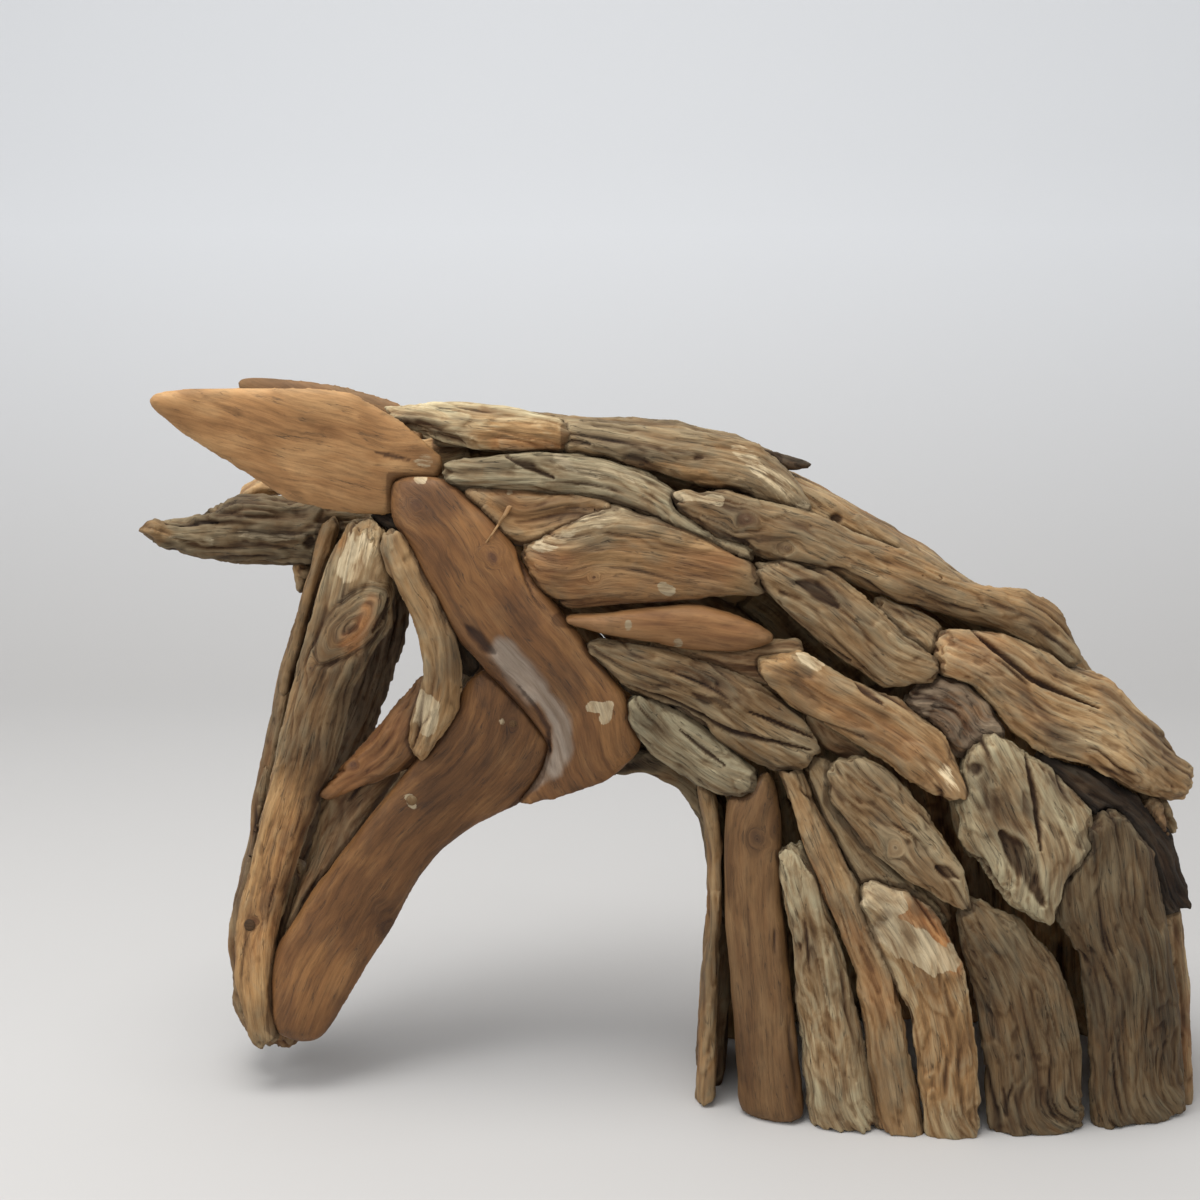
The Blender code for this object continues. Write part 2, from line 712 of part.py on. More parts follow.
    return [
        Plank("neck_sliver", "sanded_teak", sliver, rise=0.8),
        Plank("neck_bleached", "bleached_wood", bleached, rise=1.0),
        Plank("neck_cracked", "grey_wood", cracked, rise=0.7),
        Plank("neck_leaf", "tan_wood", leaf, thickness=HEAVY_THICKNESS, rise=0.5),
        Plank("neck_patched", "tan_wood", patched, rise=0.9),
        Plank("neck_scarred", "grey_wood", scarred, rise=0.6),
        Plank("neck_shoulder", "tan_wood", shoulder, thickness=HEAVY_THICKNESS, rise=0.5),
        Plank("neck_square_cut", "grey_wood", square_cut, rise=0.7, sawn=True),
        Plank("neck_forked", "bleached_wood", forked, thickness=HEAVY_THICKNESS, rise=0.3),
        Plank("neck_pale_chip", "bleached_wood", pale_chip, rise=0.6),
        Plank("neck_corner", "grey_wood", corner, thickness=HEAVY_THICKNESS, rise=0.3),
        Plank("upright_knot", "sanded_teak", upright_knot, thickness=HEAVY_THICKNESS, rise=0.3, sawn=True),
        Plank(
            "upright_grey",
            "bleached_wood",
            upright_grey,
            thickness=HEAVY_THICKNESS,
            rise=0.1,
            sawn=True,
            plain=True,
        ),
        Plank("slant_tan", "tan_wood", slant_tan, rise=0.3, plain=True),
        Plank("neck_foot", "grey_wood", foot, thickness=HEAVY_THICKNESS, plain=True),
        Plank(
            "upright_edge",
            "tan_wood",
            upright_edge,
            depth=(-6.5, -7.5),
            thickness=EDGE_STRIP_DEPTH,
            sawn=True,
            plain=True,
        ),
        Plank("poll", "bleached_wood", poll, rise=0.2, plain=True),
        Plank("poll_lower", "tan_wood", poll_lower, rise=-0.1, plain=True),
        Plank("slant_grey", "grey_wood", slant_grey, rise=-0.5, sawn=True, plain=True),
        Plank("sunk_brown", "brown_wood", sunk_brown, rise=-1.2, sawn=True, plain=True),
        Plank("sunk_grey", "grey_wood", sunk_grey, rise=-0.9, sawn=True, plain=True),
        Plank("burr", "dark_wood", burr, thickness=KNOTTY_THICKNESS, rise=-0.8, plain=True),
        Plank("sunk_dark", "dark_wood", sunk_dark, rise=-1.0, sawn=True, plain=True),
    ]


def throat_and_back_planks():
    """The planks across the front and the back of the neck, which tie its two sides together."""
    throat_upper = [
        (0.8, 34.2, 2.0, 37.2),
        (4.3, 34.4, 5.0, 37.2),
        (7.3, 32.9, 9.3, 35.7),
        (10.0, 29.4, 12.2, 31.7),
        (11.4, 20.5, 13.4, 20.5),
    ]
    throat_lower = [
        (11.1, 23.0, 13.5, 23.0),
        (10.6, 16.0, 13.0, 16.0),
        (9.6, 5.0, 12.4, 5.0),
        (9.2, -4.0, 12.0, -4.0),
    ]
    back_upper = [
        (41.5, 48.0, 39.5, 44.0),
        (47.5, 43.5, 44.5, 40.0),
        (53.0, 37.5, 49.5, 35.0),
        (56.3, 30.0, 53.0, 28.5),
    ]
    back_lower = [
        (55.4, 32.0, 52.2, 31.5),
        (57.6, 20.0, 53.6, 19.5),
        (58.4, 8.0, 54.4, 8.0),
        (58.6, -4.0, 54.6, -4.0),
    ]
    return [
        cross_plank("throat_upper", "grey_wood", throat_upper, THROAT_UPPER_BREADTH),
        cross_plank("throat_lower", "brown_wood", throat_lower, THROAT_LOWER_BREADTH, middle_y=1),
        cross_plank("back_upper", "grey_wood", back_upper, BACK_UPPER_BREADTH),
        cross_plank("back_lower_near", "brown_wood", back_lower, BACK_LOWER_BREADTH, middle_y=-4.6),
        cross_plank("back_lower_far", "grey_wood", back_lower, BACK_LOWER_BREADTH, middle_y=4.6),
    ]


def far_planks():
    """The far side of the neck, in broader planks."""
    crest_front = [
        (-19.0, 68.3, -15.5, 62.5),
        (-7.0, 68.0, -6.0, 61.0),
        (5.0, 67.0, 4.5, 60.0),
        (15.5, 63.5, 12.0, 58.0),
    ]
    crest_rear = [
        (12.5, 65.5, 9.0, 59.5),
        (23.0, 60.5, 19.0, 53.0),
        (34.0, 54.0, 28.5, 46.0),
        (46.0, 45.5, 39.5, 40.5),
    ]
    upper = [
        (-11.0, 63.0, -10.5, 57.0),
        (-1.0, 62.5, -1.0, 51.0),
        (10.0, 60.0, 8.5, 49.0),
        (19.0, 54.5, 15.0, 47.0),
    ]
    lower = [
        (-6.0, 54.0, -4.0, 47.0),
        (4.0, 53.0, 4.5, 42.0),
        (15.5, 50.0, 13.0, 36.0),
        (23.5, 40.0, 18.5, 32.5),
    ]
    shoulder = [
        (17.0, 58.0, 12.5, 49.5),
        (27.0, 52.0, 21.5, 39.0),
        (37.0, 43.0, 29.0, 31.0),
        (42.0, 33.0, 36.0, 26.5),
    ]
    front_foot = [
        (11.0, 36.0, 17.5, 38.0),
        (12.5, 24.0, 20.0, 24.0),
        (12.5, 12.0, 21.5, 12.0),
        (12.0, -4.0, 21.5, -4.0),
    ]
    middle_foot = [
        (16.5, 37.5, 26.0, 39.0),
        (19.0, 24.0, 30.5, 26.0),
        (20.5, 12.0, 33.0, 12.0),
        (21.0, -4.0, 34.0, -4.0),
    ]
    rear_foot = [
        (27.0, 36.0, 40.0, 40.0),
        (30.0, 23.0, 45.0, 26.0),
        (32.0, 12.0, 47.0, 12.0),
        (33.0, -4.0, 48.0, -4.0),
    ]
    corner = [
        (37.5, 45.5, 51.0, 44.0),
        (43.5, 28.0, 58.5, 33.0),
        (45.5, 13.0, 60.5, 14.0),
        (46.5, -4.0, 61.0, -4.0),
    ]
    return [
        Plank("far_crest_front", "grey_wood", crest_front, FAR, rise=0.6, plain=True),
        Plank("far_shoulder", "grey_wood", shoulder, FAR, thickness=HEAVY_THICKNESS, rise=0.6, plain=True),
        Plank("far_crest_rear", "tan_wood", crest_rear, FAR, rise=0.4, plain=True),
        Plank("far_lower", "brown_wood", lower, FAR, thickness=HEAVY_THICKNESS, rise=0.5, plain=True),
        Plank("far_upper", "tan_wood", upper, FAR, thickness=HEAVY_THICKNESS, rise=0.1, plain=True),
        Plank(
            "far_middle_foot",
            "grey_wood",
            middle_foot,
            FAR,
            thickness=HEAVY_THICKNESS,
            rise=0.3,
            plain=True,
        ),
        Plank(
            "far_front_foot",
            "tan_wood",
            front_foot,
            FAR,
            thickness=HEAVY_THICKNESS,
            rise=0.1,
            plain=True,
        ),
        Plank("far_corner", "tan_wood", corner, FAR, thickness=HEAVY_THICKNESS, rise=0.2, plain=True),
        Plank("far_rear_foot", "brown_wood", rear_foot, FAR, thickness=HEAVY_THICKNESS, plain=True),
    ]


def object_from(mesh, name):
    """A scene object holding this bmesh."""
    data = bpy.data.meshes.new(name)
    mesh.to_mesh(data)
    mesh.free()
    thing = bpy.data.objects.new(name, data)
    bpy.context.scene.collection.objects.link(thing)
    return thing


def remove(thing):
    data = thing.data
    bpy.data.objects.remove(thing)
    bpy.data.meshes.remove(data)


def largest_part(mesh):
    """Keeps the largest of the separate bodies in a bmesh, as a sawn piece keeps its main part."""
    unseen = set(mesh.verts)
    parts = []
    while unseen:
        part = set()
        front = [unseen.pop()]
        while front:
            vertex = front.pop()
            part.add(vertex)
            for edge in vertex.link_edges:
                other = edge.other_vert(vertex)
                if other in unseen:
                    unseen.discard(other)
                    front.append(other)
        parts.append(part)
    parts.sort(key=lambda part: sum(face.calc_area() for face in {f for v in part for f in v.link_faces}))
    for part in parts[:-1]:
        bmesh.ops.delete(mesh, geom=list(part), context="VERTS")


def fitted(plank, cutters, floor):
    """The plank's own body, less what its neighbours in front take of it, and sawn off at the floor."""
    thing = object_from(plank.body(), plank.name)
    shape = BVHTree.FromObject(thing, bpy.context.evaluated_depsgraph_get())
    for cutter in [*cutters, floor]:
        tree = BVHTree.FromObject(cutter, bpy.context.evaluated_depsgraph_get())
        if shape.overlap(tree):
            cut = thing.modifiers.new("fit_" + cutter.name, "BOOLEAN")
            cut.operation = "DIFFERENCE"
            cut.solver = "EXACT"
            cut.object = cutter
    evaluated = thing.evaluated_get(bpy.context.evaluated_depsgraph_get())
    data = bpy.data.meshes.new_from_object(evaluated)
    mesh = bmesh.new()
    mesh.from_mesh(data)
    bpy.data.meshes.remove(data)
    remove(thing)
    bmesh.ops.remove_doubles(mesh, verts=mesh.verts[:], dist=FIT_GAP / 4)
    bmesh.ops.dissolve_degenerate(mesh, edges=mesh.edges[:], dist=FIT_GAP / 4)
    largest_part(mesh)
    bmesh.ops.dissolve_limit(mesh, angle_limit=FLAT_ANGLE, verts=mesh.verts[:], edges=mesh.edges[:])
    bmesh.ops.triangulate(mesh, faces=mesh.faces[:])
    return mesh


def material_for(name, finish):
    colour, roughness = FINISHES[finish]
    material = bpy.data.materials.new(name)
    material.use_nodes = True
    shader = material.node_tree.nodes["Principled BSDF"]
    shader.inputs["Base Color"].default_value = (*colour, 1)
    shader.inputs["Roughness"].default_value = roughness
    shader.inputs["Metallic"].default_value = 0.0
    material.diffuse_color = (*colour, 1)
    return material


def place(plank, mesh, middle, parent):
    """The finished piece as an object whose origin is at its own middle, under the bust's empty."""
    low, high = box_of([mesh])
    own_middle = (low + high) / 2
    bmesh.ops.translate(mesh, verts=mesh.verts[:], vec=-own_middle)
    thing = object_from(mesh, plank.name)
    thing.location = own_middle - middle
    thing.parent = parent
    thing.data.materials.append(material_for(plank.name, plank.finish))
    thing.data.shade_smooth()
    thing.data.set_sharp_from_angle(angle=SHARP_ANGLE)


def box_of(meshes):
    points = [vertex.co for mesh in meshes for vertex in mesh.verts]
    low = Vector([min(point[axis] for point in points) for axis in range(3)])
    high = Vector([max(point[axis] for point in points) for axis in range(3)])
    return low, high


def build():
    planks = crest_planks()[:3] + neck_planks()[:4] + head_planks() + neck_planks()[4:]
    planks += crest_planks()[3:] + throat_and_back_planks() + far_planks()
    floor = object_from(floor_block(), "floor_cut")
    cutters = []
    meshes = []
    for plank in planks:
        meshes.append(fitted(plank, cutters, floor))
        cutters.append(object_from(plank.body(grow=FIT_GAP), plank.name + "_cut"))
    for cutter in [*cutters, floor]:
        remove(cutter)
    low, high = box_of(meshes)
    middle = Vector(((low.x + high.x) / 2, (low.y + high.y) / 2, 0))
    bust = bpy.data.objects.new("driftwood_horse_head", None)
    bpy.context.scene.collection.objects.link(bust)
    for plank, mesh in zip(planks, meshes):
        place(plank, mesh, middle, bust)


for old in list(bpy.data.objects):
    bpy.data.objects.remove(old)
build()
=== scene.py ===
"""Looks of the driftwood horse head: every plank of the frame is worn, cracked and grained.

Each plank's solid is remeshed finely, its facets are rounded off, and it is carved along its own grain.
Places on the near side are given on the squared-up sketch of the side view, as in the part's source:
squares across and squares up, with 8 mm to a square at the near cheek.
"""

import json
import math
import zlib

import bpy
import numpy as np
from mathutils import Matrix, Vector
from mathutils.bvhtree import BVHTree

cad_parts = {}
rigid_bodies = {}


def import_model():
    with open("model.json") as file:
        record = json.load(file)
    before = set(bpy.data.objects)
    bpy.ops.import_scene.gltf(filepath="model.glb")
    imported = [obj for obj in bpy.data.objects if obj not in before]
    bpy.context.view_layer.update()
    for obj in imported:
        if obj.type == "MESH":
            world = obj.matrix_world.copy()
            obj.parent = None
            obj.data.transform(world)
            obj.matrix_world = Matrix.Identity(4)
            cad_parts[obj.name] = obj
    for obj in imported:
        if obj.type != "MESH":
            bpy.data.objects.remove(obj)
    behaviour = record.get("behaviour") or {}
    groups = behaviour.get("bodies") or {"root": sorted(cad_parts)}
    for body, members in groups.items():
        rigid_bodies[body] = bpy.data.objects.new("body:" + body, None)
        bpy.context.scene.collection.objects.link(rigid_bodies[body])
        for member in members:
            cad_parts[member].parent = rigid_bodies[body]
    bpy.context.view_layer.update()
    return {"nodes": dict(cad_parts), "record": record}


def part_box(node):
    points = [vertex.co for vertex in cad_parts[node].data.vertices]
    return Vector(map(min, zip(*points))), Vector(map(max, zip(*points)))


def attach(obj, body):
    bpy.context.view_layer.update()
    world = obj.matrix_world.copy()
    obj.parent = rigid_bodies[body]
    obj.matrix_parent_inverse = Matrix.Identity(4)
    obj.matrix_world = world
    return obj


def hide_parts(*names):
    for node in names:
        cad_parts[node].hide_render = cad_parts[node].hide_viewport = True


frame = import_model()

MM = 0.001

# The sketch: the size of a square, and the sight line down its middle, as in the part's source.
SQUARE = 0.008
SIGHT_LENGTH = 153
SIGHT_TILT = math.radians(8)
SIGHT_SKETCH_Z = 51
SIGHT_Z = 54
CHEEK_PLANE_Y = -10
SKETCH_MIDDLE = np.array((-0.0773, 0.0015, 0.0))
SKETCH_WIDTH = 120

LEVEL, DOWN = math.cos(SIGHT_TILT), math.sin(SIGHT_TILT)
RIGHT = np.array((1.0, 0.0, 0.0))
AHEAD = np.array((0.0, LEVEL, -DOWN))
UP = np.array((0.0, DOWN, LEVEL))
EYE = SKETCH_MIDDLE + SQUARE * np.array(
    (0.0, CHEEK_PLANE_Y - SIGHT_LENGTH * LEVEL, SIGHT_Z + SIGHT_LENGTH * DOWN)
)

# Mesh sizes in metres. What the sketch shows of the near planks is split once more, twice as fine.
NEAR_VOXEL = 0.0031
FAR_VOXEL = 0.0036

# How far carved wood stands out from its solid, and the reach of the dirt and painted shade beside a gap,
# in millimetres.
NEAR_SWELL = 1.0
FAR_SWELL = 1.5
DIRT_AND_SHADE_REACH = 4.5

# Places along a plank at which its bent centre line is found.
GRAIN_STOPS = 22

# A face is shown if it turns this far to the sketch and nothing hides it from this far in front of it.
SHOWN_TURN = 0.1
SHOWN_GAP = 0.004

# Worn edges, painted lighter as wear and painted highlight, are where the wood stands out from itself as
# smoothed flat by so many rounds; hollows, painted darker as painted shade, are where it sinks below it.
FLAT_ROUNDS = 12
FLAT_SHARE = 0.6

# Planks of the far half that the sketch shows too.
ALSO_SHOWN = ("ear_far", "face_bar_far")

# What the name of a carved plank has after the name of its solid.
WOOD = "_wood"


def add_object(name, data):
    thing = bpy.data.objects.new(name, data)
    bpy.context.scene.collection.objects.link(thing)
    return thing


def add_camera():
    """The camera at the photo's viewing angle, with the sketch's width across its frame."""
    data = bpy.data.cameras.new("camera")
    data.sensor_width = 36
    data.lens = data.sensor_width * SIGHT_LENGTH / SKETCH_WIDTH
    camera = add_object("camera", data)
    camera.location = EYE
    camera.rotation_euler = (math.pi / 2 - SIGHT_TILT, 0, 0)
    bpy.context.scene.camera = camera


def on_sketch(points):
    """Where points lie on the sketch, in squares across and up."""
    seen = points - EYE
    scale = SIGHT_LENGTH / (seen @ AHEAD)
    return np.stack([(seen @ RIGHT) * scale, (seen @ UP) * scale + SIGHT_SKETCH_Z], 1)


def hashed(cells, seed):
    """Three pseudo-random numbers from -1 to 1 for each whole-number cell."""
    bits = np.uint32(seed * 2654435761 % 2**32)
    for column, factor in zip(cells.T, (73856093, 19349663, 83492791)):
        bits = bits ^ column * np.uint32(factor)
    for shift, factor in ((15, 2246822519), (13, 3266489917), (16, 1)):
        bits = (bits ^ (bits >> np.uint32(shift))) * np.uint32(factor)
    parts = [(bits >> np.uint32(shift)) & np.uint32(1023) for shift in (0, 10, 20)]
    return np.stack(parts, 1).astype(np.float32) / 511.5 - 1


def noise(points, seed=0):
    """Smooth gradient noise, about -1 to 1, one wave to a unit."""
    points = np.asarray(points, np.float32)
    cell = np.floor(points)
    inside = points - cell
    cell = cell.astype(np.int64).astype(np.uint32)
    ease = inside**3 * (inside * (inside * 6 - 15) + 10)
    total = np.zeros(len(points), np.float32)
    for corner in np.ndindex(2, 2, 2):
        corner = np.array(corner)
        gradient = hashed(cell + corner.astype(np.uint32), seed)
        weight = np.prod(np.where(corner == 1, ease, 1 - ease), 1)
        total += weight * ((inside - corner) * gradient).sum(1)
    return total * 1.5


def rough(points, seed=0, octaves=3):
    """Noise summed over octaves, each half as strong and twice as fine."""
    total = 0
    for octave in range(octaves):
        total = total + noise(points * 2**octave, seed + 31 * octave) / 2**octave
    return total


def step(low, high, values):
    """Smoothly from 0 at low to 1 at high."""
    t = np.clip((values - low) / (high - low), 0, 1)
    return t * t * (3 - 2 * t)


def dots(first, second):
    return np.einsum("ij,ij->i", first, second)


def away_from(line, places):
    """Distance of places from a line on the sketch, in squares, and how far along it they are, 0 to 1."""
    line = np.asarray(line, float)
    if len(line) == 1:
        return np.hypot(*(places - line[0]).T), np.full(len(places), 0.5)
    nearest = np.full(len(places), np.inf)
    along = np.zeros(len(places))
    lengths = np.hypot(*np.diff(line, axis=0).T)
    for k, (start, end) in enumerate(zip(line, line[1:])):
        run = end - start
        t = np.clip((places - start) @ run / (run @ run), 0, 1)
        far = np.hypot(*(places - start - t[:, None] * run).T)
        closer = far < nearest
        nearest[closer] = far[closer]
        along[closer] = ((lengths[:k].sum() + t * lengths[k]) / lengths.sum())[closer]
    return nearest, along


def search_tree(names):
    """One search tree of these planks' solids."""
    corners, faces = [], []
    for name in names:
        solid = frame["nodes"][name].data
        first = len(corners)
        corners += [v.co for v in solid.vertices]
        faces += [[first + k for k in polygon.vertices] for polygon in solid.polygons]
    return BVHTree.FromPolygons(corners, faces)


SOLIDS = search_tree(frame["nodes"])


class Wood:
    """A plank while it is carved: points, normals, and coordinates along its own grain."""

    def __init__(self, name, solid, near, look):
        self.name = name
        self.near = near
        self.even = look["even"]
        self.seed = zlib.crc32(name.encode()) % 1000
        self.thing = add_object(name, solid.copy())
        remesh = self.thing.modifiers.new("remesh", "REMESH")
        remesh.mode = "VOXEL"
        remesh.voxel_size = look.get("voxel", NEAR_VOXEL if near else FAR_VOXEL)
        graph = bpy.context.evaluated_depsgraph_get()
        mesh = bpy.data.meshes.new_from_object(self.thing.evaluated_get(graph))
        self.thing.modifiers.clear()
        self.take(mesh)
        self.smooth(look["rounds"])
        self.even = 0
        self.smooth(1 + look["rounds"] // 10)
        if look.get("split", near):
            self.split_shown_faces()
            self.smooth(1)
        self.find_grain()

    def take(self, mesh):
        self.thing.data = mesh
        self.points = self.read("vertices", "co", 3)
        self.edges = self.read("edges", "vertices", 2, np.int32)

    def shown_faces(self):
        """Whether the sketch shows each face."""
        self.update_normals()
        normals = self.read("polygons", "normal", 3)
        centres = self.read("polygons", "center", 3) + SHOWN_GAP * normals
        shown = -(normals @ AHEAD) > SHOWN_TURN
        for k in np.flatnonzero(shown):
            sight = Vector(EYE) - Vector(centres[k])
            shown[k] = SOLIDS.ray_cast(centres[k], sight, sight.length)[0] is None
        return shown

    def split_shown_faces(self):
        """Splits in four each face that the sketch shows, and gives its neighbours the new corners."""
        shown = self.shown_faces()
        starts = self.read("polygons", "loop_start", 1, np.int32)[:, 0]
        sizes = self.read("polygons", "loop_total", 1, np.int32)[:, 0]
        corner = self.read("loops", "vertex_index", 1, np.int32)[:, 0]
        side = self.read("loops", "edge_index", 1, np.int32)[:, 0]
        face = np.repeat(np.arange(len(starts)), sizes)
        before = np.arange(len(corner)) - 1
        before[starts] = starts + sizes - 1
        inner = shown[face]
        cut = np.zeros(len(self.edges), bool)
        cut[side[inner]] = True
        on_edge = np.full(len(cut), -1)
        on_edge[cut] = len(self.points) + np.arange(cut.sum())
        on_face = np.full(len(shown), -1)
        on_face[shown] = len(self.points) + cut.sum() + np.arange(shown.sum())
        middles = self.points[self.edges[cut]].mean(1)
        sums = [np.bincount(face, self.points[corner, k]) for k in range(3)]
        centres = np.stack(sums, 1) / sizes[:, None]
        points = np.concatenate([self.points, middles, centres[shown]])
        fours = np.stack([corner, on_edge[side], on_face[face], on_edge[side[before]]], 1)[inner]
        pairs = np.stack([corner, on_edge[side]], 1)[~inner]
        kept = pairs >= 0
        rest = np.bincount(face[~inner], kept.sum(1), len(shown))[~shown].astype(np.int32)
        corners = np.concatenate([fours.ravel(), pairs[kept]]).astype(np.int32)
        lengths = np.concatenate([np.full(len(fours), 4, np.int32), rest])
        fine = bpy.data.meshes.new(self.name)
        fine.vertices.add(len(points))
        fine.vertices.foreach_set("co", points.astype(np.float32).ravel())
        fine.loops.add(len(corners))
        fine.loops.foreach_set("vertex_index", corners)
        fine.polygons.add(len(lengths))
        starts = np.concatenate([[0], np.cumsum(lengths)[:-1]]).astype(np.int32)
        fine.polygons.foreach_set("loop_start", starts)
        fine.update(calc_edges=True)
        self.take(fine)

    def blank(self):
        return np.zeros(len(self.points))

    def read(self, of, what, size, kind=np.float32):
        rows = getattr(self.thing.data, of)
        values = np.empty(len(rows) * size, kind)
        rows.foreach_get(what, values)
        return values.reshape(-1, size)

    def around(self, values):
        """The mean of each point's neighbours, weighted by their distance to the power even."""
        count = len(values)
        a, b = self.edges.T
        weight = np.linalg.norm(self.points[a] - self.points[b], axis=1) ** self.even
        total = np.bincount(a, weight, count) + np.bincount(b, weight, count)
        columns = [
            np.bincount(a, weight * column[b], count) + np.bincount(b, weight * column[a], count)
            for column in values.reshape(count, -1).T
        ]
        return (np.stack(columns, 1) / total[:, None]).reshape(values.shape)

    def eased(self, points, share):
        """Points moved a share of the way to the mean of their neighbours."""
        return points + share * (self.around(points) - points)

    def smooth(self, rounds):
        """Rounds the facets off and keeps the volume nearly: each step in is followed by one out."""
        for _ in range(rounds):
            for share in (0.62, -0.52):
                self.points = self.eased(self.points, share)

    def update_normals(self):
        self.thing.data.vertices.foreach_set("co", self.points.astype(np.float32).ravel())
        self.thing.data.update()
        self.normals = np.empty(self.points.size, np.float32)
        self.thing.data.vertex_normals.foreach_get("vector", self.normals)
        self.normals = self.normals.reshape(-1, 3)

    def find_grain(self):
        """Length along the bent centre line, and the places across and through, in millimetres."""
        self.update_normals()
        centred = self.points - self.points.mean(0)
        _, axes = np.linalg.eigh(np.cov(centred.T))
        run = axes[:, 2] * np.sign(axes[0, 2] + 1e-9)
        through = axes[:, 0] * np.sign(-axes[1, 0] + 1e-9) * (1 if self.near else -1)
        t = centred @ run
        stops = np.linspace(t.min(), t.max(), GRAIN_STOPS)
        bins = np.clip(np.searchsorted(stops, t) - 1, 0, len(stops) - 2)
        held = np.maximum(np.bincount(bins, minlength=len(stops) - 1), 1)
        line = np.stack([np.bincount(bins, centred[:, k], len(stops) - 1) / held for k in range(3)], 1)
        for _ in range(3):
            line[1:-1] = (line[:-2] + 2 * line[1:-1] + line[2:]) / 4
        middles = (stops[1:] + stops[:-1]) / 2
        slope = np.gradient(line, axis=0)
        slope /= np.linalg.norm(slope, axis=1)[:, None]
        length = np.concatenate([[0], np.cumsum(np.linalg.norm(np.diff(line, axis=0), axis=1))])
        at = np.stack([np.interp(t, middles, column) for column in line.T], 1)
        self.along = np.stack([np.interp(t, middles, column) for column in slope.T], 1)
        out = through - (self.along @ through)[:, None] * self.along
        out /= np.linalg.norm(out, axis=1)[:, None]
        across = np.cross(out, self.along)
        offset = centred - at
        past = t - np.clip(t, middles[0], middles[-1])
        self.s = (np.interp(t, middles, length) + past) / MM
        self.u = dots(offset, across) / MM
        self.v = dots(offset, out) / MM
        self.to_end = np.minimum(t - t.min(), t.max() - t) / MM
        self.outward = dots(self.normals, out)
        self.half_width = np.percentile(np.abs(self.u), 97)
        self.places = on_sketch(self.points)
        self.facing = step(0.05, 0.4, -(self.normals @ AHEAD))

    def grain(self, along, across, seed=0, octaves=3):
        """Noise drawn out along the grain: waves of these lengths in millimetres."""
        space = np.stack([self.s / along, self.lines / across, self.v / across], 1)
        return rough(space + self.seed * 1.37, self.seed + seed, octaves)

    def lump(self, size, seed=0, octaves=2):
        """Noise of one wave length in millimetres in every direction."""
        return rough(self.points / (size * MM) + self.seed * 0.73, self.seed + seed, octaves)

    def spot(self, line, radius, seed, ragged, soft, tapered=False):
        """1 on a place or line of the sketch and 0 past its radius in millimetres, ragged at the edge."""
        far, along = away_from(line, self.places)
        far = far * SQUARE / MM / radius
        if tapered:
            far = far / (0.3 + 0.7 * np.sin(np.pi * along))
        far = far + ragged * self.grain(max(3.2 * radius, 22), max(1.2 * radius, 9), seed + 50, 2)
        return step(1 + soft / 2, 1 - soft / 2, far) * self.facing


def bend_round_knots(wood, knots):
    """The grain lines: across, but flowing round each knot as water flows round a pole."""
    wood.lines = wood.u + 1.6 * wood.lump(70, 3)
    wood.knot = wood.blank()
    for place, radius in knots:
        far = np.hypot(*(wood.places - place).T) + (1 - wood.facing) * 9
        nearest = int(np.argmin(far))
        ds, du = wood.s - wood.s[nearest], wood.u - wood.u[nearest]
        squared = (ds * 0.75) ** 2 + du**2 + (wood.v - wood.v[nearest]) ** 2
        squared = squared * (1 + 0.5 * wood.lump(2.6 * radius, 90)) ** 2
        share = np.minimum(radius**2 / np.maximum(squared, 1), 1.0)
        wood.lines -= du * share
        ring = np.sqrt(squared)
        inside = step(radius, radius * 0.2, ring)
        wood.lines += step(radius * 1.2, radius * 0.5, ring) * ring * 1.1
        wood.knot = np.maximum(wood.knot, inside)


def carve(wood, look):
    """Weather's work as a height in millimetres: lumps, flutes, torn layers, pits and fibres."""
    height = look["lumps"] * wood.lump(60, 1)
    ridged = 0.45 - 2.0 * np.abs(wood.grain(100, 21, 2, 2))
    height += look["flutes"] * ridged
    torn = 0.5 - 2.0 * np.abs(wood.grain(46, 7.5, 4, 2))
    height += 0.45 * look["flutes"] * torn * step(-0.45, 0.5, wood.lump(65, 13))
    if look["pebbles"]:
        height += look["pebbles"] * wood.lump(13, 14)
    wood.dark = wood.blank()
    if look["pits"]:
        pit = step(0.42, 0.75, wood.grain(17, 8.5, 95, 2)) * step(-0.3, 0.5, wood.lump(60, 96, 1))
        height -= 1.5 * look["pits"] * pit
        # Pits are painted dark inside: painted shade.
        wood.dark = 0.55 * pit * min(1, look["pits"])
    if look["layers"]:
        level = 1.9 * wood.grain(80, 19, 5, 2) + 0.03 * wood.v
        stair = np.floor(level) + step(0.36, 0.64, level - np.floor(level))
        height += look["layers"] * (stair - level) * 2
    if wood.near:
        height += look["fibres"] * wood.grain(26, 2.8, 6, 1)
    on_end = dots(wood.normals, wood.along) ** 2
    return height * look["strength"] * (1 - look["ends"] * on_end)


def add_checks(wood, look, height):
    """Splits along the grain, each narrow, a little bent and closing at both ends, painted dark inside as
    painted shade.
    """
    chance = np.random.default_rng(wood.seed)
    narrow = 1.1 if wood.near else 2.4
    for _ in range(int(look["checks"] * len(wood.points) / 1000)):
        middle = chance.integers(len(wood.points))
        half = chance.uniform(9, 38)
        width = narrow * chance.uniform(0.8, 1.5)
        depth = chance.uniform(0.8, 2.6)
        sway = chance.uniform(-2.5, 2.5)
        along = (wood.s - wood.s[middle]) / half
        off = wood.lines - wood.lines[middle] - sway * np.sin(2.2 * along)
        same_side = step(0.1, 0.5, wood.normals @ wood.normals[middle])
        gap = np.exp(-((off / width) ** 2)) * np.clip(1 - along**2, 0, 1) ** 0.6 * same_side
        height -= depth * gap
        # The split is painted dark inside: painted shade.
        wood.dark = np.maximum(wood.dark, gap * min(1, depth / 1.8))
    return height


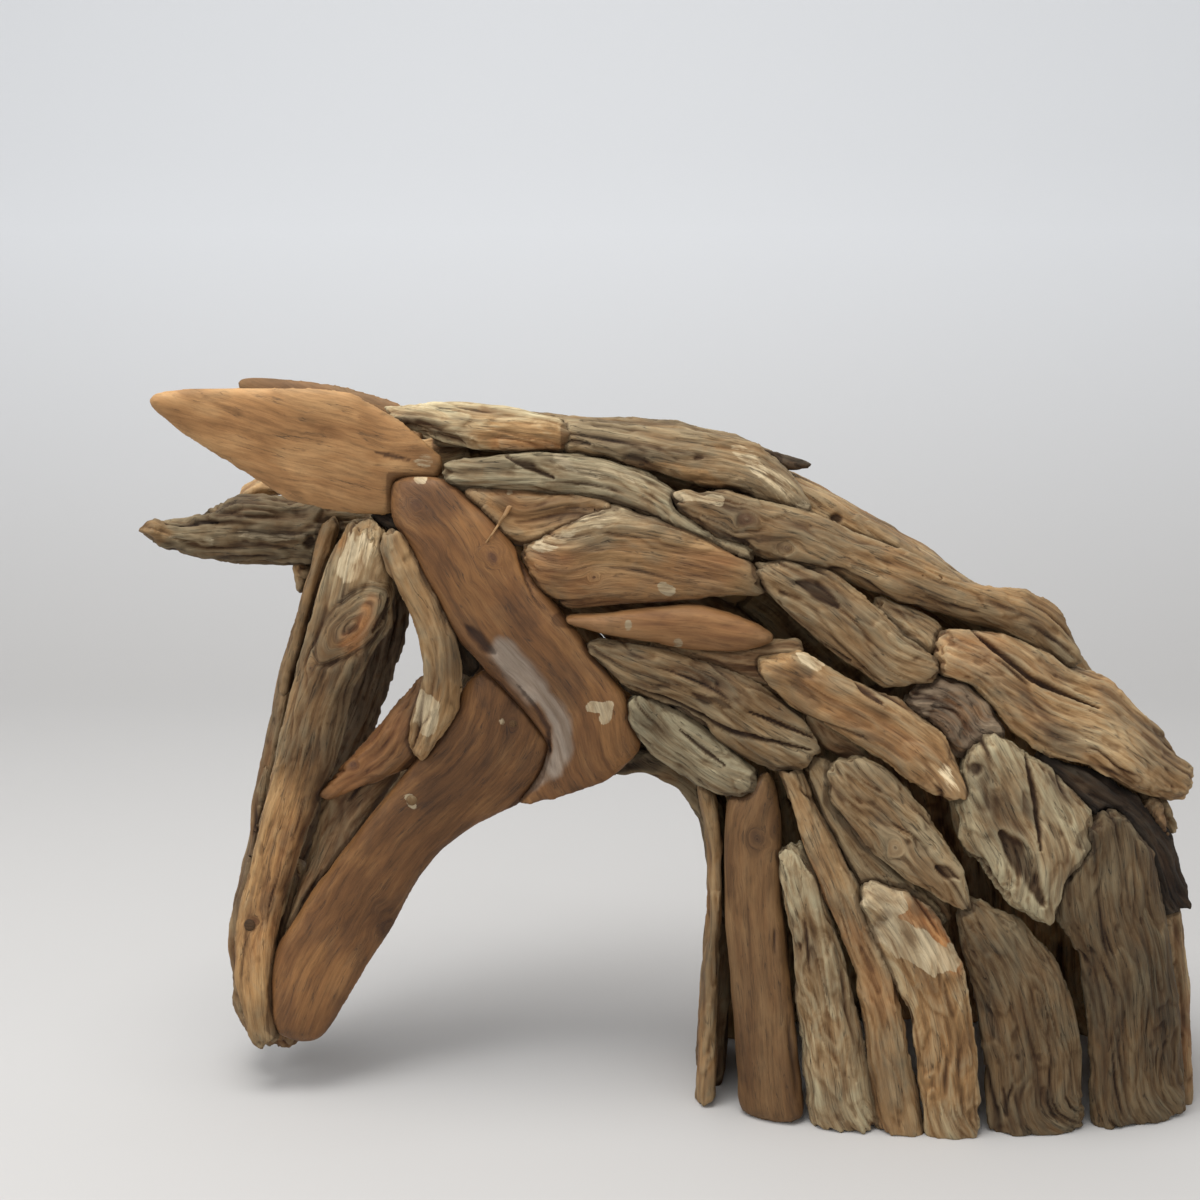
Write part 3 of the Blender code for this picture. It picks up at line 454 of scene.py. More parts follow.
def add_eye(wood, height, axis, radius, depth):
    """The great knot that reads as the eye: a low leaf shape with fine rings round its core."""
    start, end = np.array(axis)
    run = end - start
    length = np.hypot(*run)
    t = (wood.places - start) @ run / length**2
    off = (wood.places - start) @ (run[1], -run[0]) / length * SQUARE / MM
    far = (np.abs(off / radius) ** 1.5 + np.abs(2 * t - 0.94) ** 1.8) ** 0.62
    far = far + 0.16 * wood.lump(34, 70, 1) + 0.06 * wood.lump(11, 73, 1)
    inside = step(1.15, 0.75, far) * wood.facing
    rim = np.exp(-(((far - 1.02) / 0.10) ** 2)) * wood.facing * step(-0.5, 0.5, wood.lump(28, 72))
    waves = np.cos(21 * far + 1.1 * wood.lump(40, 71, 1))
    height = height * (1 - 0.8 * inside) + depth * inside * (1.2 - far)
    height = height - 2.0 * rim + 0.30 * inside * waves
    wood.dark = np.maximum(wood.dark * (1 - inside), 0.38 * inside * step(0.1, 0.95, -waves))
    # The groove round the knot is painted dark: painted shade.
    wood.dark = np.maximum(wood.dark, 0.8 * rim)
    wood.lines = wood.lines * (1 - inside) + inside * far * 30
    wood.warm = wood.warm - 0.15 * inside
    return height


# How dark a hollow, a crack and a dent are painted at their deepest, as painted shade.
SHADES = {"crack": 0.95, "hollow": 0.9, "dent": 0.15}

# How ragged and how soft the edge of each kind of feature is, as shares of its radius.
EDGES = {
    "hollow": (0.6, 0.9),
    "crack": (0.12, 0.8),
    "dent": (0.3, 1.2),
    "bump": (0.2, 1.4),
    "pale": (0.6, 0.6),
    "ash": (0.35, 0.9),
    "smooth": (0.3, 1.2),
    "warm": (0.6, 1.3),
    "amber": (0.5, 1.1),
    "dark": (0.7, 1.3),
    "light": (0.5, 1.4),
}


def add_features(wood, look, height):
    """What the photo shows at one place: hollows, cracks, raised knots and pale, warm or dark patches."""
    for kind in ("pale", "ash", "warm", "light"):
        setattr(wood, kind, wood.blank())
    wood.amber = look["amber"] * step(0.1, 0.9, wood.lump(75, 33))
    if "eye" in look:
        height = add_eye(wood, height, *look["eye"])
    for seed, (kind, radius, amount, *line) in enumerate(look["features"]):
        ragged, soft = EDGES[kind]
        tapered = kind in ("crack", "hollow")
        mask = wood.spot(line, radius, 60 + seed, ragged, soft, tapered)
        if kind in SHADES:
            height -= amount * mask
            # Hollows, cracks and dents are painted darker: painted shade.
            wood.dark = np.maximum(wood.dark, mask * SHADES[kind])
        elif kind == "bump":
            height += amount * mask
        elif kind == "smooth":
            height = height * (1 - amount * mask)
        elif kind == "warm":
            wood.warm = np.where(mask > 0.01, mask * amount + (1 - mask) * wood.warm, wood.warm)
        else:
            setattr(wood, kind, np.maximum(getattr(wood, kind), mask * amount))
    for place, radius in look["knots"]:
        raised = np.exp(-((away_from([place], wood.places)[0] * SQUARE / MM / radius) ** 2))
        height += 0.035 * radius * raised * wood.facing
    return height


def fray(wood, amount):
    """Worn ends split into fibres: the end faces draw back unevenly along the grain."""
    reach = step(24, 0, wood.to_end)
    back = 0.15 + wood.grain(200, 8, 11, 2)
    direction = np.sign(wood.s - (wood.s.max() + wood.s.min()) / 2)
    shift = -direction * amount * back * reach
    wood.points = wood.points + wood.along * (shift * MM)[:, None]


def split_planks(wood, seams):
    """Grooves that part one broad solid into narrower boards, at shares of its half width, painted dark
    as painted shade.
    """
    dark = wood.blank()
    height = wood.blank()
    for k, seam in enumerate(seams):
        wander = 5 * noise(np.stack([wood.s / 90, wood.s * 0 + k, wood.s * 0], 1), wood.seed + k)
        far = np.abs(wood.u - seam * wood.half_width - wander)
        groove = step(4.5, 0.8, far) * step(0.1, 0.5, wood.outward)
        height -= 6.5 * groove
        dark = np.maximum(dark, groove)
    return height, dark


def store(wood, name, values):
    attribute = wood.thing.data.attributes.new(name, "FLOAT", "POINT")
    attribute.data.foreach_set("value", np.ascontiguousarray(values, np.float32))


def nearness(wood):
    """1 where a point touches another plank, falling to 0 at the reach of the dirt and painted shade."""
    low, high = wood.points.min(0), wood.points.max(0)
    reach = DIRT_AND_SHADE_REACH * MM
    close = []
    for name in frame["nodes"]:
        other_low, other_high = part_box(name)
        apart = max(max(a - d, c - b) for a, b, c, d in zip(low, high, other_low, other_high))
        if name + WOOD != wood.name and apart < reach:
            close.append(name)
    if not close:
        return wood.blank()
    tree = search_tree(close)
    found = [tree.find_nearest(point, reach)[3] for point in wood.points.tolist()]
    far = np.array([reach if distance is None else distance for distance in found])
    return 1 - far / reach


def finished(wood, look, material):
    """Writes the carved mesh and what its material reads."""
    mesh = wood.thing.data
    wood.points[:, 2] = np.maximum(wood.points[:, 2], 0)
    flat = wood.points
    for _ in range(FLAT_ROUNDS):
        flat = wood.eased(flat, FLAT_SHARE)
    wood.update_normals()
    curve = dots(wood.points - flat, wood.normals) / MM
    below_top = wood.points[:, 2].max() - wood.points[:, 2]
    # Far planks are painted lighter where they face the sketch, below their top: painted light through
    # the gaps.
    inner = 0 if wood.near else look["inner"] * step(0.02, 0.08, below_top)
    # Faces that turn up are painted lighter, as painted light from above, and greyer.
    sky = step(-0.3, 0.9, wood.normals[:, 2]) - 0.5
    store(wood, "edge", np.clip(curve * 1.1, -1, 1))
    for name in ("dark", "pale", "ash", "amber", "knot"):
        store(wood, name, np.clip(getattr(wood, name), 0, 1))
    # Darker beside other planks: dirt and painted shade in the gaps.
    store(wood, "dirt", look["dirt"] * nearness(wood))
    light = wood.light + inner * wood.facing
    # The tone holds painted light from above and painted light through the gaps.
    tone = 1 + 0.2 * wood.lump(75, 21, 1) + 0.12 * sky + light
    grey = look["grey"] - wood.warm + 0.34 * wood.lump(50, 20) + 0.2 * sky
    store(wood, "tone", look["tone"] * tone)
    store(wood, "grey", np.clip(grey, 0, 1))
    grain = np.stack([wood.s, wood.lines, wood.v], 1) * MM + wood.seed * 0.317
    attribute = mesh.attributes.new("grain", "FLOAT_VECTOR", "POINT")
    attribute.data.foreach_set("vector", np.ascontiguousarray(grain, np.float32).ravel())
    mesh.shade_smooth()
    mesh.materials.clear()
    mesh.materials.append(material)


def from_screen(*colours):
    """Screen colours, of bytes above 10, as the shader wants them."""
    return [tuple(((c / 255 + 0.055) / 1.055) ** 2.4 for c in colour) + (1,) for colour in colours]


def node(kind, inputs, **settings):
    """A shader node in the tree of what it is linked to, with its inputs as links or values."""
    links = {key: value for key, value in inputs.items() if isinstance(value, bpy.types.NodeSocket)}
    tree = next(iter(links.values())).id_data
    made = tree.nodes.new("ShaderNode" + kind)
    for name, value in settings.items():
        setattr(made, name, value)
    for key, value in inputs.items():
        if key in links:
            tree.links.new(value, made.inputs[key])
        else:
            made.inputs[key].default_value = value
    return made


def attribute(tree, name, output="Fac"):
    made = tree.nodes.new("ShaderNodeAttribute")
    made.attribute_name = name
    return made.outputs[output]


def ramp(factor, *stops):
    """A colour ramp from (place, value) stops, where a value is a grey level or a colour."""
    made = node("ValToRGB", {"Fac": factor})
    elements = made.color_ramp.elements
    while len(elements) < len(stops):
        elements.new(0.5)
    for element, (place, value) in zip(elements, stops):
        element.position = place
        element.color = value if isinstance(value, tuple) else (value, value, value, 1)
    return made.outputs["Color"]


def mixed(factor, first, second, how="MIX"):
    made = node("Mix", {0: factor, 6: first, 7: second}, data_type="RGBA", blend_type=how)
    return made.outputs[2]


def tinted(colour, tint):
    return mixed(1.0, colour, tint, "MULTIPLY")


def maths(how, first, second=0.0, clamp=False):
    return node("Math", {0: first, 1: second}, operation=how, use_clamp=clamp).outputs[0]


def product(first, second, clamp=False):
    return maths("MULTIPLY", first, second, clamp)


def plus(first, second, clamp=False):
    return maths("ADD", first, second, clamp)


def scaled(value, factor, offset):
    """A value times a factor, plus an offset."""
    return node("Math", {0: value, 1: factor, 2: offset}, operation="MULTIPLY_ADD").outputs[0]


def stretched(grain, along, across, detail=4.0, rough_share=0.55, distortion=0.0):
    """Noise drawn out along the grain, with these wave lengths in metres."""
    scale = (1 / along, 1 / across, 1 / across)
    drawn = node("VectorMath", {0: grain, 1: scale}, operation="MULTIPLY").outputs[0]
    inputs = {"Vector": drawn, "Scale": 1, "Detail": detail, "Roughness": rough_share}
    return node("TexNoise", {**inputs, "Distortion": distortion}).outputs["Fac"]


def wood_material(name, warm, grey, gloss, bump, streaky, patchy=1.0):
    """Driftwood: warm and grey tones, grain lines, fibres, splits, patches, dirt, wear, painted shade and
    highlights.
    """
    material = bpy.data.materials.new(name)
    material.use_nodes = True
    tree = material.node_tree
    grain = attribute(tree, "grain", "Vector")
    blotch = stretched(grain, 0.065, 0.026, 3, 0.5, 0.5)
    stain = stretched(grain, 0.034, 0.014, 4, 0.6, 1.0)
    streak = stretched(grain, 0.080, 0.0056, 4, 0.62, 0.5)
    fibre = stretched(grain, 0.030, 0.0023, 4, 0.7)
    split = stretched(grain, 0.100, 0.0060, 3, 0.5, 0.2)

    tone = mixed(streaky, blotch, streak)
    warm_tone = ramp(tone, (0.36, warm[2]), (0.50, warm[1]), (0.63, warm[0]))
    grey_tone = ramp(tone, (0.36, grey[2]), (0.50, grey[1]), (0.63, grey[0]))
    edge = attribute(tree, "edge")
    weathered = plus(scaled(stain, 2.4, -1.2), attribute(tree, "grey"))
    weathered = plus(weathered, product(edge, 0.25), True)
    colour = mixed(weathered, warm_tone, grey_tone)
    colour = tinted(colour, ramp(fibre, (0.32, 0.68), (0.52, 1.0), (0.70, 1.16)))
    patches = ramp(stain, (0.30, 1 - 0.36 * patchy), (0.48, 1.0), (0.72, 1 + 0.14 * patchy))
    colour = tinted(colour, patches)

    line = maths("ABSOLUTE", maths("SUBTRACT", split, 0.5))
    where = ramp(stain, (0.40, 0.0), (0.56, 1.0))
    opened = product(ramp(line, (0.0, 1.0), (0.012, 0.0)), where)
    # Open splits are painted dark: painted shade in the cracks.
    colour = mixed(product(opened, 0.7), colour, UMBER[2])

    uneven = ramp(blotch, (0.35, 1.0), (0.65, 0.7))
    amber = product(attribute(tree, "amber"), uneven)
    colour = mixed(amber, colour, ramp(streak, (0.36, AMBER[1]), (0.6, AMBER[0])))
    # Worn edges are painted in the lightest tone: wear and painted highlight.
    worn_and_highlit = product(edge, 0.38, True)
    colour = mixed(worn_and_highlit, colour, mixed(weathered, warm[0], grey[0]))
    # Hollows are painted darker: painted shade.
    sunk = product(edge, -0.9, True)
    colour = mixed(sunk, colour, tinted(colour, SUNK))

    knot = attribute(tree, "knot")
    ringed = product(knot, ramp(streak, (0.40, 0.8), (0.58, 0.2)), True)
    colour = mixed(ringed, colour, KNOT)
    pale = plus(attribute(tree, "pale"), scaled(stain, 0.9, -0.45))
    pale = plus(pale, product(fibre, 0.9))
    pale = product(ramp(pale, (0.80, 0.0), (1.4, 1.0)), 0.9)
    filler = ramp(stain, (0.34, FILLER[2]), (0.46, FILLER[1]), (0.60, FILLER[0]))
    filler = tinted(filler, ramp(fibre, (0.34, 0.74), (0.50, 1.0), (0.68, 1.12)))
    filler = tinted(filler, ramp(streak, (0.36, 0.78), (0.55, 1.04)))
    colour = mixed(pale, colour, filler)
    uneven = ramp(stain, (0.25, 0.75), (0.6, 0.95))
    ashen = product(attribute(tree, "ash"), uneven)
    colour = mixed(ashen, colour, ramp(streak, (0.35, ASH[1]), (0.6, ASH[0])))
    # Dark places: stains, and painted shade in hollows, cracks, pits, grooves and round the eye.
    dark = product(attribute(tree, "dark"), 0.9)
    colour = mixed(dark, colour, tinted(colour, STAINED_AND_SHADED))
    # Darker beside gaps: dirt and painted shade.
    dirt = plus(attribute(tree, "dirt"), scaled(stain, 0.5, 0.5))
    dirt = ramp(dirt, (0.66, 0.0), (1.3, 0.75))
    colour = mixed(dirt, colour, tinted(colour, SOILED_AND_SHADED))
    toned = node("VectorMath", {0: colour, "Scale": attribute(tree, "tone")}, operation="SCALE")

    relief = plus(product(fibre, 0.5), product(streak, 0.7))
    relief = maths("SUBTRACT", relief, product(opened, 0.6))
    raised = node("Bump", {"Strength": bump, "Distance": 0.0024, "Height": relief})
    shader = tree.nodes["Principled BSDF"]
    tree.links.new(toned.outputs[0], shader.inputs["Base Color"])
    tree.links.new(raised.outputs["Normal"], shader.inputs["Normal"])
    tree.links.new(ramp(streak, (0.3, gloss + 0.12), (0.7, gloss)), shader.inputs["Roughness"])
    shader.inputs["Specular IOR Level"].default_value = 0.3
    return material


# Light, middle and dark tone of each kind of wood.
TEAK = from_screen((188, 145, 97), (167, 123, 78), (136, 95, 56))
OILED = from_screen((152, 108, 64), (128, 87, 50), (103, 69, 40))
TAN = from_screen((184, 148, 102), (155, 117, 74), (110, 79, 50))
BROWN = from_screen((156, 118, 78), (124, 90, 58), (86, 60, 41))
GREY = from_screen((174, 156, 122), (141, 121, 91), (96, 79, 59))
BLEACHED = from_screen((206, 194, 158), (172, 154, 120), (122, 104, 80))
UMBER = from_screen((118, 104, 85), (88, 73, 58), (50, 42, 35))
KNOT = from_screen((88, 58, 42))[0]
FILLER = from_screen((226, 207, 170), (194, 172, 136), (150, 124, 92))
AMBER = from_screen((194, 136, 82), (140, 86, 48))
ASH = from_screen((184, 169, 152), (148, 130, 112))

# What the wood's colour is multiplied by in its hollows, as painted shade, in its dark places, as stains
# and painted shade, and beside gaps, as dirt and painted shade.
SUNK = (0.40, 0.32, 0.26, 1)
STAINED_AND_SHADED = (0.20, 0.155, 0.135, 1)
SOILED_AND_SHADED = (0.22, 0.17, 0.14, 1)

# The warm and the grey tones of each finish, its gloss, bump, streakiness and patchiness.
FINISHES = {
    "sanded_teak": (TEAK, TAN, 0.55, 0.25, 0.25, 0.7),
    "oiled_teak": (OILED, BROWN, 0.50, 0.30, 0.35, 0.55),
    "tan_wood": (TAN, GREY, 0.68, 0.6, 0.5, 1.3),
    "brown_wood": (BROWN, GREY, 0.72, 0.6, 0.5, 1.3),
    "grey_wood": (TAN, GREY, 0.75, 0.75, 0.5, 1.4),
    "bleached_wood": (TAN, BLEACHED, 0.75, 0.7, 0.45, 1.5),
    "dark_wood": (BROWN, UMBER, 0.8, 0.9, 0.5, 1.5),
}
MATERIALS = {name: wood_material(name, *finish) for name, finish in FINISHES.items()}

# How each finish is carved and coloured. Rounds and even say how the facets are rounded off, and settle
# how the carving is: rounds, and a share of the way. Lumps, flutes, layers, fibres, pebbles and pits are
# depths in millimetres, times strength, and less by the share ends on end faces. Checks is the number of
# splits for a thousand points, and fray how far worn ends draw back in millimetres. Grey, amber and tone
# colour the wood, and dirt darkens it beside gaps as dirt and painted shade. Inner paints the faces of
# far planks that face the sketch lighter, as painted light reaching them through gaps.
PLAIN_LOOK = {
    "strength": 1, "pebbles": 0, "pits": 0, "tone": 1, "dirt": 1, "amber": 0, "inner": 0,
    "rounds": 3, "even": 2, "ends": 0.2, "settle": (1, 0.2), "features": (), "knots": (), "seams": (),
}
SMOOTH_LOOK = {
    **PLAIN_LOOK,
    "lumps": 0.9, "flutes": 0.3, "layers": 0, "fibres": 0.04, "checks": 0.06, "fray": 0, "dirt": 0.75,
    "rounds": 30, "even": 3, "ends": 1, "settle": (4, 0.5), "swell": 1.7,
}
WORN_LOOK = {
    **PLAIN_LOOK,
    "lumps": 2, "flutes": 1.7, "layers": 0.8, "fibres": 0.28, "pits": 0.6, "checks": 0.6, "fray": 6,
    "inner": 0.5,
}
ROTTEN_LOOK = {
    **PLAIN_LOOK,
    "lumps": 2.6, "flutes": 2.2, "layers": 0.9, "fibres": 0.30, "pits": 1, "checks": 1, "fray": 5,
    "pebbles": 1,
}
FINISH_LOOKS = {
    "sanded_teak": {**SMOOTH_LOOK, "grey": 0.10},
    "tan_wood": {**WORN_LOOK, "amber": 0.5, "grey": 0.30},
    "brown_wood": {**WORN_LOOK, "amber": 0.4, "grey": 0.35},
    "grey_wood": {**WORN_LOOK, "pits": 1.0, "layers": 1.0, "checks": 0.9, "grey": 0.70},
    "bleached_wood": {**WORN_LOOK, "layers": 0.9, "grey": 0.75},
    "dark_wood": {**ROTTEN_LOOK, "grey": 0.80},
}

# How light single planks are beside their finish and, where it differs from their finish, how grey.
TONES = {
    "ear_near": (1.15,), "ear_far": (0.8,), "cheek_slab_near": (0.96,), "jaw_slab_near": (0.94,),
    "nose_strip_near": (0.66, 0.2), "cheek_strap": (0.96,), "mouth_wedge": (0.76, 0.2),
    "mouth_slat": (0.95,), "brow_root": (0.72, 0.8), "forelock_root": (1.4, 0.35),
    "brow_shard": (0.85, 0.2), "crest_front": (1.1, 0.7), "crest_middle": (0.98, 0.75),
    "crest_top": (0.88,), "crest_spike": (0.9,), "poll": (0.68, 0.8), "poll_lower": (0.88, 0.25),
    "neck_leaf": (0.77, 0.22), "neck_sliver": (0.64, 0.0), "neck_cracked": (0.72, 0.5),
    "neck_bleached": (0.66,), "neck_shoulder": (1.34, 0.5), "neck_scarred": (0.92, 0.55),
    "crest_long": (0.93, 0.55), "crest_rear": (1.08, 0.55), "neck_patched": (1.05, 0.3),
    "neck_forked": (0.9,), "neck_square_cut": (0.94,), "neck_pale_chip": (0.99, 0.3),
    "neck_corner": (0.46, 0.6), "neck_foot": (0.57, 0.6), "burr": (2.1,), "sunk_grey": (1.1,),
    "sunk_dark": (0.36,), "sunk_brown": (1.6,), "upright_knot": (0.51,),
    "upright_grey": (0.84, 0.55), "upright_edge": (0.85,), "slant_tan": (0.96, 0.35),
    "slant_grey": (0.76,), "throat_upper": (0.64,), "throat_lower": (0.75,),
    "face_bar_far": (2.8, 1.3), "jaw_slab_far": (0.8,),
}

# What else single planks have of their own. The eye has its two ends on the sketch, and its half width
# and rise in millimetres. Knots are places on the sketch with radii in millimetres. Seams part broad
# hidden planks into narrower boards, at shares of the half width.
OWN_LOOKS = {
    "ear_near": {"strength": 0.6, "voxel": 0.0021, "split": False},
    "ear_far": {"voxel": 0.0021, "split": False},
    "cheek_slab_near": {"finish": "oiled_teak", "knots": (((-10.7, 55.2), 7), ((-18.1, 60.4), 4.5))},
    "jaw_slab_near": {"finish": "oiled_teak", "knots": (((-8.7, 38.7), 4.5), ((-21.4, 18.6), 7))},
    "face_bar_near": {
        "eye": (((-27.9, 44.9), (-21, 52.6)), 20, 2.2), "grey": 0.62,
        "knots": (((-34.8, 18.6), 4.5), ((-28.9, 44.2), 3)),
    },
    "cheek_strap": {"swell": 2.2},
    "mouth_wedge": {"finish": "oiled_teak", "knots": (((-24.6, 34.4), 5),)},
    "brow_root": {"layers": 2.4, "flutes": 1.5, "lumps": 3.4, "pebbles": 1.4, "pits": 1.5},
    "poll_lower": {"swell": 3},
    "burr": {"pebbles": 1.6, "swell": 2},
    "upright_knot": {"checks": 0.25, "knots": (((15.7, 27.1), 7),)},
    "far_shoulder": {"inner": 0.3, "seams": (-0.05,)},
    "far_corner": {"inner": 1, "seams": (-0.35, 0.3)},
    "far_rear_foot": {"inner": 1, "seams": (0.05,)},
    "neck_leaf": {"knots": (((-0.6, 53.2), 4),)},
    "crest_long": {"knots": (((14.6, 59), 6), ((18.8, 56.2), 5))},
    "neck_square_cut": {"knots": (((29.6, 26.3), 6),)},
    "far_crest_rear": {"seams": (0.1,)},
    "far_lower": {"seams": (0,)},
    "far_upper": {"seams": (-0.1,)},
    "back_upper": {"seams": (-0.35, 0.3)},
}

